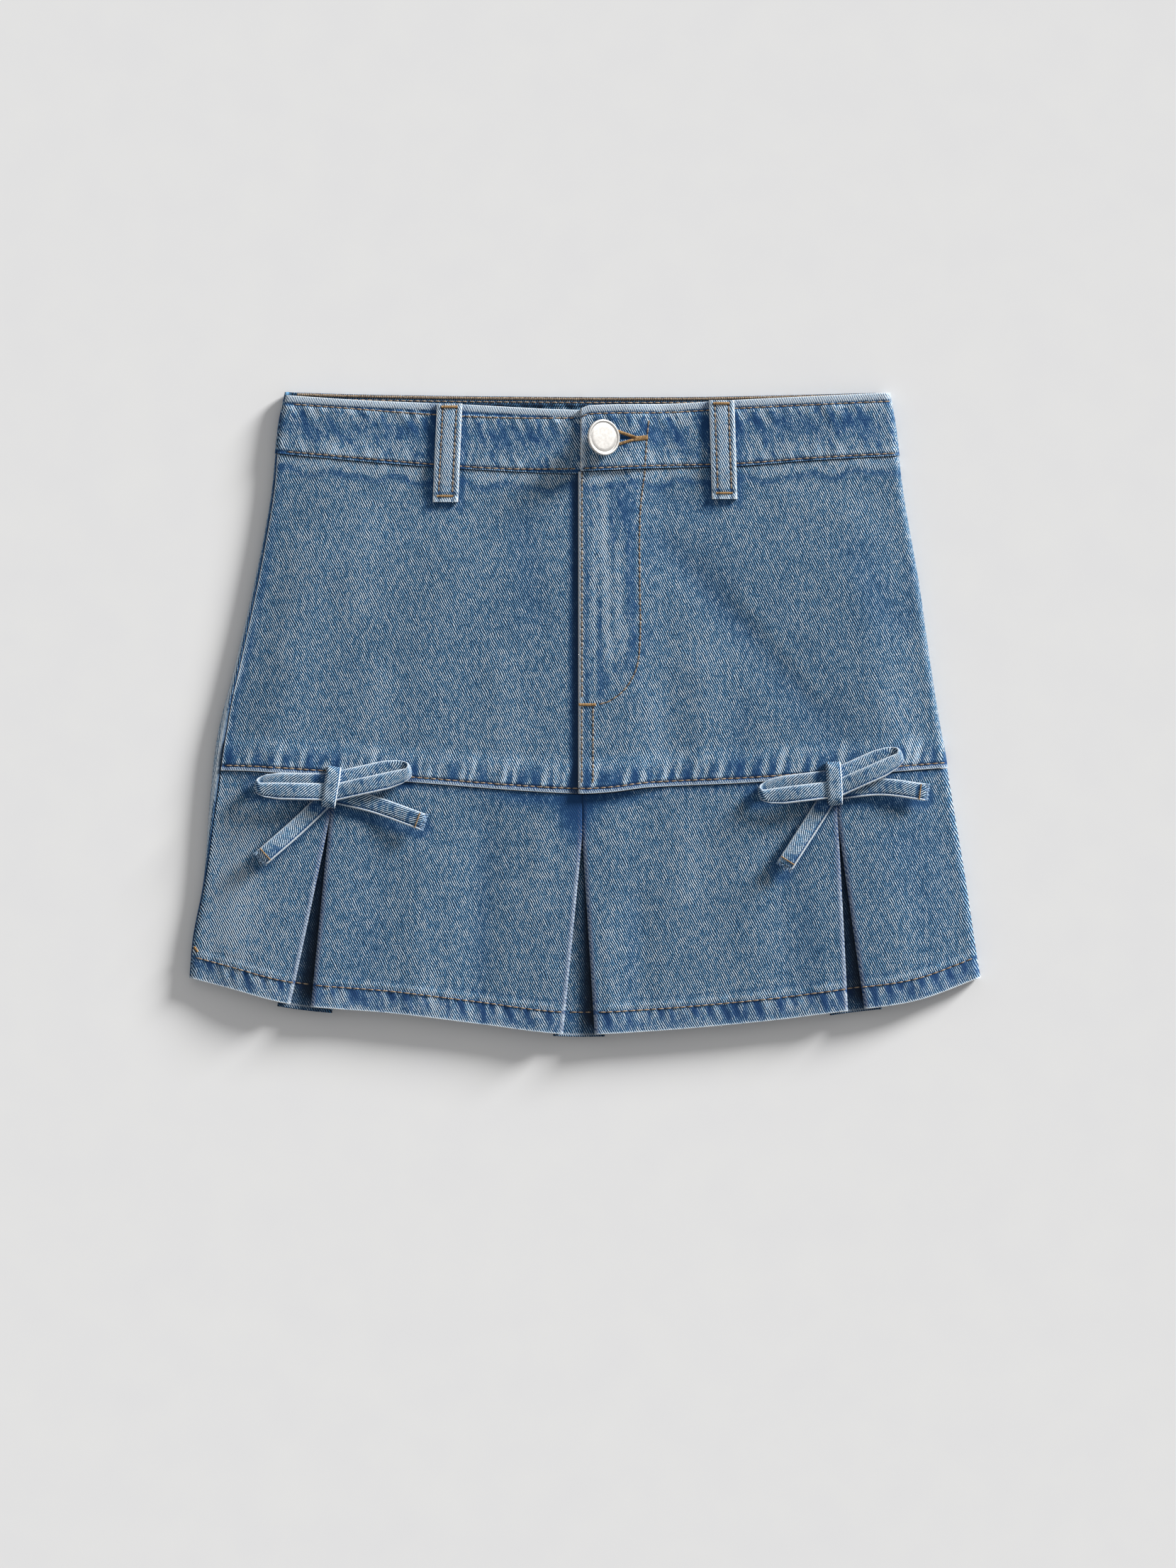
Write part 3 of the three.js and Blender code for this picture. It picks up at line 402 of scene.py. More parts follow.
def cloth_wall(name, outer, inner, uvs, attributes, material):
    """A closed cloth wall from a grid of outer points and the inner points behind them."""
    row_count, column_count = outer.shape[:2]
    faces = wall_faces(row_count, column_count)
    points = np.concatenate([outer.reshape(-1, 3), inner.reshape(-1, 3)])
    corner = points[faces]
    volume = np.einsum("ij,ij->i", corner[:, 0], np.cross(corner[:, 1], corner[:, 2])).sum()
    volume += np.einsum("ij,ij->i", corner[:, 0], np.cross(corner[:, 2], corner[:, 3])).sum()
    if volume < 0:
        faces = faces[:, ::-1]
    flat = np.stack(uvs, -1).reshape(-1, 2)
    both = {
        key: np.tile(np.broadcast_to(value, outer.shape[:2]).ravel(), 2)
        for key, value in attributes.items()
    }
    both["inner"] = np.repeat([0.0, 1.0], row_count * column_count)
    return make_mesh(name, points, faces, np.concatenate([flat, flat]), both, [material])


# Materials

def srgb(red, green, blue):
    """A colour as seen, 0 to 255, as the shader's linear colour."""
    def linear(value):
        share = value / 255
        return share / 12.92 if share <= 0.04045 else ((share + 0.055) / 1.055) ** 2.4
    return (linear(red), linear(green), linear(blue), 1.0)


class Shade:
    """A material's node tree, with short calls for its nodes."""

    def __init__(self, name):
        self.material = bpy.data.materials.new(name)
        self.material.use_nodes = True
        self.tree = self.material.node_tree
        self.tree.nodes.clear()

    def node(self, kind, inputs=None, **settings):
        made = self.tree.nodes.new(kind)
        for key, value in settings.items():
            setattr(made, key, value)
        for key, value in (inputs or {}).items():
            self.feed(made.inputs[key], value)
        return made

    def feed(self, socket, value):
        if isinstance(value, bpy.types.NodeSocket):
            self.tree.links.new(value, socket)
        else:
            socket.default_value = value

    def math(self, operation, a, b=0.0, clamp=False):
        return self.node("ShaderNodeMath", {0: a, 1: b}, operation=operation, use_clamp=clamp).outputs[0]

    def scaled(self, value, factor, plus=0.0):
        inputs = {0: value, 1: factor, 2: plus}
        return self.node("ShaderNodeMath", inputs, operation="MULTIPLY_ADD").outputs[0]

    def attribute(self, name):
        return self.node("ShaderNodeAttribute", attribute_name=name).outputs["Fac"]

    def stretched(self, vector, along_x, along_y):
        inputs = {0: vector, 1: (along_x, along_y, 1.0)}
        return self.node("ShaderNodeVectorMath", inputs, operation="MULTIPLY").outputs[0]

    def noise(self, vector, scale, detail=1.0, roughness=0.5):
        inputs = {"Vector": vector, "Scale": scale, "Detail": detail, "Roughness": roughness}
        return self.node("ShaderNodeTexNoise", inputs, noise_dimensions="2D").outputs["Fac"]

    def dot(self, vector, x, y):
        inputs = {0: vector, 1: (x, y, 0.0)}
        return self.node("ShaderNodeVectorMath", inputs, operation="DOT_PRODUCT").outputs["Value"]

    def ramp(self, value, stops):
        made = self.node("ShaderNodeValToRGB", {0: value})
        elements = made.color_ramp.elements
        while len(elements) < len(stops):
            elements.new(0.5)
        for element, (position, colour) in zip(elements, stops):
            element.position = position
            element.color = colour
        return made.outputs[0]

    def blend(self, factor, a, b, blend_type="MIX"):
        inputs = {0: factor, 6: a, 7: b}
        made = self.node("ShaderNodeMix", inputs, data_type="RGBA", blend_type=blend_type)
        return made.outputs[2]

    def surface(self, colour, roughness, height=None, depth=0.0, **sockets):
        inputs = {"Base Color": colour, "Roughness": roughness}
        inputs.update({key.replace("_", " "): value for key, value in sockets.items()})
        shader = self.node("ShaderNodeBsdfPrincipled", inputs)
        if height is not None:
            bump = self.node("ShaderNodeBump", {"Height": height, "Distance": depth, "Strength": 1.0})
            self.feed(shader.inputs["Normal"], bump.outputs[0])
        out = self.node("ShaderNodeOutputMaterial")
        self.tree.links.new(shader.outputs[0], out.inputs[0])
        return self.material


TWILL_PERIOD = 0.96
TWILL_NORMAL = (0.891, 0.454)
DEEP_BLUE = srgb(12, 60, 108)
BARE_YARN = srgb(194, 197, 200)
FOLD_SHADE = srgb(10, 16, 24)
DENIM_BUMP = 0.00006

# What each pattern adds to the denim's tone
TONE_OF_RIM = 0.28
TONE_OF_BEADS = 0.32
TONE_OF_GRAIN = 0.2
TONE_OF_SLUBS = 0.07
TONE_OF_BLOTCHES = 0.05
TONE_OF_ROPE = 0.10
TONE_OF_PATCHES = -0.34
TONE_OF_WEAR = 0.44
INNER_TONE = -0.14

# The denim's tones, from the hollow between two ribs to a rib that is worn white
DENIM_STOPS = [
    (0.0, srgb(2, 22, 42)),
    (0.25, srgb(10, 52, 88)),
    (0.5, srgb(48, 101, 140)),
    (0.75, srgb(122, 167, 200)),
    (1.0, srgb(230, 238, 244)),
]


def denim_material(name, stops, normal=TWILL_NORMAL, period=TWILL_PERIOD, level=0.338):
    """Twill ribs with beads of yarn, slubs and grain. One attribute shifts the tone, both for the wash's
    fades and for painted shade and shadow; worn bares the pale yarn, rope mixes pale cloth with patches of
    deep blue, as washing leaves them along seams, rim is a folded edge where the ribs run together, inner
    is a wall's back, and shade is painted shade in the pleats and beside the fly's lap."""
    s = Shade(name)
    fade, worn, inner, rope = (s.attribute(key) for key in ("fade", "worn", "inner", "rope"))
    uv = s.node("ShaderNodeUVMap", uv_map="Cloth").outputs[0]
    wobble = s.noise(uv, 0.2, 2.0)
    ribs = s.dot(uv, normal[0] / period, normal[1] / period)
    phase = s.math("ADD", ribs, s.scaled(wobble, 0.9))
    rib = s.math("SINE", s.scaled(phase, 2 * math.pi))
    beads = s.scaled(s.noise(s.stretched(uv, 1.9, 1.1), 1.0, 1.0, 0.6), 2.0, -1.0)
    grain = s.scaled(s.noise(uv, 3.2, 1.0), 2.0, -1.0)
    slub = s.scaled(s.noise(s.stretched(uv, 1.3, 0.14), 1.0, 1.0), 2.0, -1.0)
    heather = s.noise(s.stretched(uv, 0.5, 0.26), 1.0, 2.0)
    blotch = s.scaled(s.noise(uv, 0.05, 3.0), 2.0, -1.0)
    lean = s.node("ShaderNodeCombineXYZ", {0: s.dot(uv, 0.30, 0.12), 1: s.dot(uv, -0.06, 0.14)}).outputs[0]
    patch = s.math("ADD", s.scaled(s.noise(lean, 1.0, 3.0, 0.6), -6.0, 2.8), 0.0, clamp=True)
    patch = s.math("MULTIPLY", rope, patch)
    tone = s.math("MULTIPLY", rib, s.scaled(heather, 0.8, 0.12))
    rim = s.math("MULTIPLY", s.attribute("rim"), s.scaled(inner, -0.85, 1.0))
    tone = s.math("MULTIPLY", tone, s.scaled(worn, -0.4, 1.0))
    tone = s.math("MULTIPLY", tone, s.scaled(rim, -0.85, 1.0))
    for pattern, amount in (
        (rim, TONE_OF_RIM), (beads, TONE_OF_BEADS), (grain, TONE_OF_GRAIN), (slub, TONE_OF_SLUBS),
        (blotch, TONE_OF_BLOTCHES), (rope, TONE_OF_ROPE), (patch, TONE_OF_PATCHES),
    ):
        tone = s.math("ADD", tone, s.scaled(pattern, amount))
    tone = s.math("ADD", tone, fade)
    tone = s.math("ADD", tone, s.scaled(worn, TONE_OF_WEAR))
    tone = s.scaled(tone, s.scaled(inner, -0.2, 1.0), s.scaled(inner, INNER_TONE, level))
    colour = s.ramp(s.math("ADD", tone, 0.0, clamp=True), stops)
    # Deep blue where the tone falls low: the wash's unfaded indigo and its patches, and painted shade and
    # shadow
    deep_wash_and_shade = s.math("ADD", s.scaled(fade, -2.6), s.scaled(patch, 0.9))
    deep_wash_and_shade = s.math("MULTIPLY", deep_wash_and_shade, s.scaled(tone, -1.5, 1.5), clamp=True)
    deep = s.math("MULTIPLY", deep_wash_and_shade, s.scaled(inner, -0.85, 0.85))
    colour = s.blend(deep, colour, DEEP_BLUE)
    bare = s.math("MAXIMUM", s.scaled(rim, 0.8), s.scaled(worn, 0.5))
    bare = s.math("MULTIPLY", bare, s.scaled(tone, 1.6, -0.2), clamp=True)
    colour = s.blend(bare, colour, BARE_YARN)
    shade = s.attribute("shade")
    colour = s.blend(shade, colour, s.blend(0.92, colour, FOLD_SHADE))
    height = s.math("ADD", s.scaled(rib, 0.5), s.scaled(beads, 0.35))
    roughness = s.scaled(worn, 0.06, 0.84)
    return s.surface(
        colour, roughness, height, DENIM_BUMP,
        Sheen_Weight=0.12, Sheen_Roughness=0.5, Specular_IOR_Level=0.25,
    )


def plain_material(name, low, high, scale, roughness=0.8, depth=0.00003, **sockets):
    """A cloth or thread of one colour with grain between two tones."""
    s = Shade(name)
    place = s.node("ShaderNodeTexCoord").outputs["Object"]
    inputs = {"Vector": place, "Scale": scale, "Detail": 3.0}
    grain = s.node("ShaderNodeTexNoise", inputs).outputs["Fac"]
    colour = s.ramp(grain, [(0.3, low), (0.7, high)])
    return s.surface(colour, roughness, grain, depth, **sockets)


denim = denim_material("denim", DENIM_STOPS)
bow_denim = denim_material("bow_denim", DENIM_STOPS, normal=(0.62, -0.78), period=0.9)
shorts_cloth = plain_material("shorts_cloth", srgb(138, 152, 172), srgb(178, 190, 206), 900)
thread = plain_material("thread", srgb(76, 60, 50), srgb(176, 156, 132), 1500)
# Near-black discs at the needle holes: painted shade where each stitch sinks into the cloth
hole_shade = plain_material("needle_hole_shade", srgb(20, 20, 28), srgb(48, 40, 42), 1500)
gold_thread = plain_material("gold_thread", srgb(104, 78, 46), srgb(186, 148, 98), 1500)
fray = plain_material("fray", srgb(40, 84, 130), srgb(176, 200, 220), 1200)


# Stitched lines, measured from the edge or seam that they follow
TOP_STITCH = 4.0
BAND_STITCH = 1.2
YOKE_STITCH = 2.4
HEM_STITCH = 10.4
CENTRE_STITCH = 3.2

# The buttonhole's slot: from x, y, to x, y
BUTTONHOLE = (13.0, 128.9, 23.0, 128.4)

# The seams and hems that the pieces are cut along
yoke = Guide(YOKE_SEAM)
yoke_under = Guide(YOKE_SEAM, SEAM_GAP)
hem = Guide(HEM)
back_hem = Guide(BACK_HEM)
waist_left = Guide(LEFT_WAIST_SEAM)
waist_right = Guide(RIGHT_WAIST_SEAM)


def lap_rise(x, wall):
    """The right side rises over the left side's underlap, and eases down beyond it."""
    eased = smooth((x - LAP_EASE_FROM_X) / (LAP_EASE_TO_X - LAP_EASE_FROM_X))
    return (wall + SEAM_GAP) * (1 - eased)


def yoke_swell(share):
    """The panels' rolled lower edge is thicker than the cloth."""
    return YOKE_SWELL * smooth((share - 1 + 2 * YOKE_SWELL_SHARE) / YOKE_SWELL_SHARE)


def puckers(x, away, start, end, pitch, length, width, height, lean, seed):
    """Short creases that stand on a seam, unevenly spaced, long and high. Away is the distance from it."""
    chance = np.random.default_rng(seed)
    total = np.zeros(np.broadcast(x, away).shape)
    place = start
    while place < end:
        own = chance.uniform([0.55, 0.5, 0.7, 0.35], [1.5, 1.4, 1.3, 1.25])
        run = length * own[1]
        side = (x - place - lean * own[3] * away) / (width * own[2])
        fall = smooth(1 - away / run) * (away > -0.5)
        total = total + height * own[3] * fall * np.exp(-(side ** 2))
        place += pitch * own[0]
    return total


# Puckers in relief: pitch, length, width, height, lean and seed
WAIST_PUCKERS = (9.0, 12, 2.4, 0.26, -0.5, 5)
YOKE_PUCKERS = (7.4, 13, 1.8, 0.36, 0.25, 3)
BELOW_YOKE_PUCKERS = (8.5, 11, 2.2, 0.2, -0.3, 11)
ABOVE_HEM_PUCKERS = (8.0, 12, 2.0, 0.22, 0.35, 13)
HEM_PUCKERS = (4.4, 11, 1.25, 0.3, 0.4, 15)
BACK_HEM_PUCKERS = (5, 11, 1.4, 0.6, 0.4, 41)
BAND_TOP_PUCKERS = (7.4, 12, 2.0, 0.42, 0.5, 17)
BAND_SEAM_PUCKERS = (8.6, 12, 2.1, 0.42, 0.5, 19)

# Streaks in the wash: start away from the seam, amount, pitch, length, width, lean and seed
BAND_TOP_STREAKS = [(0, 0.46, 5.2, 12, 1.3, 0.45, 17), (3, -0.30, 9.5, 17, 1.8, 0.5, 27)]
BAND_SEAM_STREAKS = [(0, 0.40, 5.6, 11, 1.3, -0.45, 19)]
YOKE_STREAKS = [(0, 0.80, 5.4, 13, 1.25, 0.2, 31), (0, -0.20, 8.4, 14, 1.6, 0.2, 33)]
HEM_STREAKS = [(0, 0.26, 4.6, 12, 1.3, 0.3, 35), (1, -0.70, 7.2, 9, 1.4, 0.3, 37)]
ABOVE_HEM_STREAKS = [(0, 0.16, 6.4, 9, 1.5, 0.3, 39)]
BACK_HEM_STREAKS = [(0, -0.3, 7.4, 12, 1.7, 0.3, 43), (0, 0.2, 5, 12, 1.5, 0.3, 45)]

# How deep the painted shade lies in the groove of a row of stitches, the painted shadow and unfaded blue
# beside belt loops, and the painted shadow under bows
STITCH_SHADE = 0.42
STITCH_SHADE_WIDTH = 0.62
BAND_LOOP_SHADOW_AND_UNFADED = 0.26
PANEL_LOOP_SHADOW_AND_UNFADED = 0.24
PANEL_BOW_SHADOW = 0.2
FLOUNCE_BOW_SHADOW = 0.22
HEIGHT_FADE = 0.25


def near(distance, width):
    """1 on an edge, falling to 0 at width from it."""
    return smooth(1 - np.abs(distance) / width)


def trench(distance, depth=0.3, width=0.9):
    """A stitched line pulls the cloth down."""
    return -depth * np.exp(-((distance / width) ** 2))


# Belt loops, from top to bottom: name, top x, bottom x, top y, bottom y
BELT_LOOPS = [
    ("belt_loop_left", -63.0, -65.0, 144.4, 98.6),
    ("belt_loop_right", 63.6, 65.0, 146.0, 100.0),
]
BELT_LOOP_WIDTH = 11.8
BELT_LOOP_SETTLE = 10
BELT_LOOP_STITCH = 2.7
BELT_LOOP_TACK = 2.8
BELT_LOOP_ACROSS = [
    -0.5, -0.48, -0.44, -0.38, -0.32, -0.28, -0.24, -0.18, -0.1, 0,
    0.1, 0.18, 0.24, 0.28, 0.32, 0.38, 0.44, 0.48, 0.5,
]


def wash_and_fold_shade(x, y, rows):
    """Paler and deeper places, from the wash and from painted shade and light over the soft folds: x, y,
    half length, half width, angle in degrees, amount.
    """
    total = np.zeros(np.broadcast(x, y).shape)
    for place_x, place_y, half_length, half_width, angle, amount in rows:
        turned = math.radians(angle)
        along = (x - place_x) * math.cos(turned) + (y - place_y) * math.sin(turned)
        across = (y - place_y) * math.cos(turned) - (x - place_x) * math.sin(turned)
        total += amount * np.exp(-((along / half_length) ** 2) - (across / half_width) ** 2)
    return total


# Paler and deeper places of the waistband, the two fronts and the flounce: the wash's fades, and on the
# fronts and the flounce also painted shade along the soft folds' troughs and painted light on their ridges
BAND_WASH = [
    (-130, 134, 9, 3.0, -60, -0.16),
    (-97, 137, 9, 2.6, -40, -0.14),
    (-83, 132, 7, 2.4, -55, -0.12),
    (-112, 128, 8, 2.4, -30, -0.08),
    (-40, 128, 8, 3.0, -50, -0.14),
    (-33, 133, 7, 2.4, -60, -0.12),
    (-20, 127, 9, 2.4, -35, -0.10),
    (31, 132, 9, 4.0, -60, -0.20),
    (44, 127, 10, 2.6, -55, -0.16),
    (37, 138, 9, 2.0, -55, 0.12),
    (50, 133, 9, 2.0, -60, 0.12),
    (84, 131, 9, 2.6, -55, -0.12),
    (96, 136, 9, 2.6, -60, -0.14),
    (108, 131, 8, 2.2, -50, -0.10),
    (121, 135, 8, 2.4, 50, -0.12),
    (133, 130, 8, 2.6, -60, -0.14),
    (19, 138.5, 9, 2.2, 0, -0.28),
]
PANEL_WASH_AND_SHADE = [
    (84, 36, 62, 12, -53, -0.055),
    (104, 6, 26, 9, -53, -0.05),
    (18, 96, 11, 3.2, 90, -0.22),
    (9.6, 72, 38, 2.2, 92, 0.24),
    (4.6, 48, 46, 1.2, 90, 0.20),
    (15.5, 56, 28, 1.8, 92, 0.20),
    (12.8, 84, 24, 1.3, 91, -0.20),
    (6.6, 40, 26, 1.2, 91, -0.18),
    (21.5, 62, 36, 2.2, 90, -0.20),
    (19, 34, 9, 1.5, 80, 0.18),
    (11.5, 28, 12, 1.5, 95, 0.18),
    (26, 34, 8, 6, 45, -0.10),
    (8, 15, 9, 4, 80, -0.15),
    (17, 22, 6, 3, 60, -0.12),
    (4, -12, 9, 4, 0, 0.05),
    (30, 76, 14, 3, 90, -0.05),
    (55, 14, 34, 12, 92, 0.03),
    (132, 52, 30, 10, 80, -0.03),
    (152, 62, 12, 4, 90, -0.07),
    (150, 42, 6, 4, 90, -0.06),
    (-36, 30, 44, 14, 80, -0.02),
    (-150, 66, 9, 4, 80, -0.06),
    (-156, 30, 6, 3.5, 80, -0.06),
    (-118, 60, 40, 16, 85, 0.015),
    (-8, 112, 5, 4, 90, -0.05),
]
FLOUNCE_WASH_AND_SHADE = [
    (-4, -42, 9, 9, 90, -0.30),
    (-5, -50, 10, 6, 80, -0.22),
    (12, -39, 17, 4.4, 5, -0.20),
    (-26, -40, 17, 4, -3, -0.18),
    (-48, -106, 40, 4.5, 90, -0.08),
    (-44, -62, 18, 6, 90, -0.03),
    (22, -112, 28, 3.6, 88, -0.06),
    (-100, -112, 20, 8, 80, -0.03),
    (104, -104, 26, 6, 95, -0.03),
    (62, -96, 40, 14, 90, 0.025),
    (-164, -84, 50, 17, 94, 0.17),
    (156, -82, 44, 17, 88, -0.05),
    (-72, -124, 14, 5, 90, 0.04),
    (150, -60, 12, 6, 0, -0.04),
]


# Bows: side, x, y, lean, knot width, knot length, loops and tails.
# A loop is name, angle, length, spread. A tail is name, start x, y, bend x, y, end x, y.
BOW_WIDTH = 8
STRIP_OVER_STRIP = STRIP + SEAM_GAP
LOOP_TOP_Z = 4.4
LOOP_ARCH = 0.6
LOOP_PINCH = 1.1
TAIL_END_LIFT = 3.0
KNOT_EDGE = 1.6
KNOT_CROWN = 4.4
KNOT_TAPER = 0.12
BOWS = [
    (
        "left", -117.9, -34.0, -9, 7.4, 19.4,
        [("loop_left", 179, 35, 4.6), ("loop_right", 12.5, 37.5, 5.6)],
        [
            ("tail_left", -2.5, -5.5, -16, -18.5, -32.5, -33),
            ("tail_right", 0.5, -3.5, 20, -8.2, 42.5, -16.2),
        ],
    ),
    (
        "right", 115.9, -32.4, 3, 7.6, 20.4,
        [("loop_left", 187, 35, 5.2), ("loop_right", 24, 34, 5.4)],
        [
            ("tail_left", -2.5, -6, -12, -21, -23, -38),
            ("tail_right", 2, -3.4, 22, -1.6, 42.5, -4.0),
        ],
    ),
]


def bow_painted_shadow(x, y):
    """Painted shadow of a bow's loops and tails on the cloth beside them, most below and at the left of
    them.
    """
    deep = np.zeros(np.broadcast(x, y).shape)
    for _, bow_x, bow_y, _, _, _, loops, tails in BOWS:
        lines = []
        for _, angle, length, _ in loops:
            turned = math.radians(angle)
            lines.append((0, 0, length * math.cos(turned), length * math.sin(turned)))
        lines += [(start_x, start_y, end_x, end_y) for _, start_x, start_y, _, _, end_x, end_y in tails]
        for start_x, start_y, end_x, end_y in lines:
            run_x, run_y = end_x - start_x, end_y - start_y
            from_x, from_y = x - bow_x - start_x, y - bow_y - start_y
            share = np.clip((from_x * run_x + from_y * run_y) / (run_x ** 2 + run_y ** 2), 0, 1)
            off_x = from_x - share * run_x + 1.6
            off_y = from_y - share * run_y + 2.2
            deep = np.maximum(deep, near(np.hypot(off_x, off_y) - 3.5, 4.5))
    return deep


def loop_shadow_and_unfaded(x, y):
    """The cloth along both edges of a belt loop stays deep blue, unfaded there, and painted shadow darkens
    it most at its left and below it.
    """
    deep = np.zeros(np.broadcast(x, y).shape)
    for _, top_x, bottom_x, top_y, bottom_y in BELT_LOOPS:
        down = (top_y - y) / (top_y - bottom_y)
        off = x - mix(top_x, bottom_x, np.clip(down, 0, 1.1))
        within = smooth((y - bottom_y + 7) / 5)
        left = near(off + BELT_LOOP_WIDTH / 2 + 1, 5.5)
        right = 0.7 * near(off - BELT_LOOP_WIDTH / 2 - 1, 4)
        below = near(y - bottom_y + 1.5, 4) * near(off, BELT_LOOP_WIDTH * 0.75)
        deep = np.maximum(deep, np.maximum(np.maximum(left, right) * within, below))
    return deep


def front_relief(x, y):
    """Creases and puckers of the upper front, over the solids' form."""
    fine = sum(ridge_along(x, y, row) for row in FRONT_CREASES)
    above_yoke = y - yoke.at(x)
    fine += puckers(x, above_yoke - 2.6, -165, 165, *YOKE_PUCKERS)
    below_waist = waist_right.at(x) - y
    fine += puckers(x, below_waist, -142, 144, *WAIST_PUCKERS)
    return fine


def flounce_relief(x, y):
    """Creases, the puckers of the yoke seam and of the hem, and the hem's raised upper edge."""
    fine = sum(ridge_along(x, y, row) for row in FRONT_CREASES)
    fine += puckers(x, yoke.at(x) - y, -170, 168, *BELOW_YOKE_PUCKERS)
    above_hem = y - hem.at(x)
    fine += puckers(x, above_hem - HEM_STITCH, -178, 178, *ABOVE_HEM_PUCKERS)
    fine += puckers(x, HEM_STITCH - above_hem, -180, 180, *HEM_PUCKERS)
    fine += 0.18 * near(above_hem - HEM_STITCH - 2.2, 1.6)
    return fine


def buttonhole(x, y):
    """The slot between the buttonhole's lips, 1 along its middle."""
    share = np.clip((x - BUTTONHOLE[0]) / (BUTTONHOLE[2] - BUTTONHOLE[0]), 0, 1)
    off_x = x - mix(BUTTONHOLE[0], BUTTONHOLE[2], share)
    off_y = y - mix(BUTTONHOLE[1], BUTTONHOLE[3], share)
    return near(np.hypot(off_x, off_y), 1.5 - 0.7 * share)


def streaks(x, away, rows):
    """Uneven pale and dark streaks that stand on a seam."""
    total = 0
    for start, amount, pitch, length, width, lean, seed in rows:
        one = puckers(x, away - start, -190, 190, pitch, length, width, 1.0, lean, seed)
        total = total + amount * np.clip(one, 0, 1)
    return total


def stitch_groove_shade(distance):
    """The painted shade in the groove that a row of stitches pulls into the cloth."""
    return -STITCH_SHADE * np.exp(-((distance / STITCH_SHADE_WIDTH) ** 2))


def band_relief(x, y, top, seam):
    """Puckers from both rows of stitches, which sink in, and the buttonhole's slot."""
    below_top = top - y
    above_seam = y - seam
    fine = puckers(x, below_top - TOP_STITCH, -140, 142, *BAND_TOP_PUCKERS)
    fine += puckers(x, above_seam - BAND_STITCH, -142, 144, *BAND_SEAM_PUCKERS)
    fine += 0.14 * near(below_top - 1.8, 2.2) - 1.2 * buttonhole(x, y)
    fine += trench(below_top - TOP_STITCH, 0.4, 0.7) + trench(above_seam - BAND_STITCH, 0.4, 0.7)
    return fine


def rows_of(length, coarse, *zones):
    """Shares down a piece of that length, at a coarse spacing but for zones of from, to and spacing."""
    place = 0.0
    places = [0.0]
    while place < length - 1e-6:
        step = min([spacing for start, end, spacing in zones if start <= place + 1e-6 < end] + [coarse])
        starts = [start for start, _, _ in zones if place + 1e-6 < start < place + step]
        place = min([place + step, length] + starts)
        places.append(place)
    return np.array(places) / length


def wall_of(name, rows, places, thickness, lift, relief, attributes, back=False):
    """A cut denim piece of the tube with relief over it, which on the back only goes inwards."""
    bare, out, _ = tube_point(rows, places, 0.0, back)
    share = np.broadcast_to(rows.share, places.shape)
    point, out, way = tube_point(rows, places, lift(bare[..., 0], share), back)
    raised = relief(point[..., 0], point[..., 1])
    facing = np.clip(out[..., 2], 0, 1)
    if back:
        facing = np.clip(-out[..., 2], 0, 1)
        raised = np.minimum(raised, 0)
    outer = point + out * (raised * facing)[..., None]
    wall = np.broadcast_to(thickness(share), places.shape)
    inner = point + out * (np.clip(raised * facing, None, INNER_RELIEF) - wall)[..., None]
    return cloth_wall(name, outer, inner, (way, point[..., 1]), attributes(point, raised), denim)


def left_front_places(rows, end_x, count):
    start = rows.inside_left(rows.inset)
    knee = np.maximum(0, start) + 2 / rows.span
    return np.concatenate([steps(start, knee, 5)[:, :-1], steps(knee, rows.over_front(end_x), count)], 1)


def right_front_places(rows, start_x, count):
    front = steps(rows.over_front(start_x), 1, count)
    roll = steps(1 + 0 * rows.left, 2, 10)[:, 1:]
    return np.concatenate([front, roll, rows.under_right(rows.right - ROLL - RIGHT_TURN_UNDER)], 1)


def left_back_places(rows, start_x, count):
    floor = steps(rows.under_left(start_x), -1, count)
    end = rows.inside_left(rows.inset - SEAM_GAP - 0.1)
    return np.concatenate([floor, steps(-1, end, 10)[:, 1:]], 1)


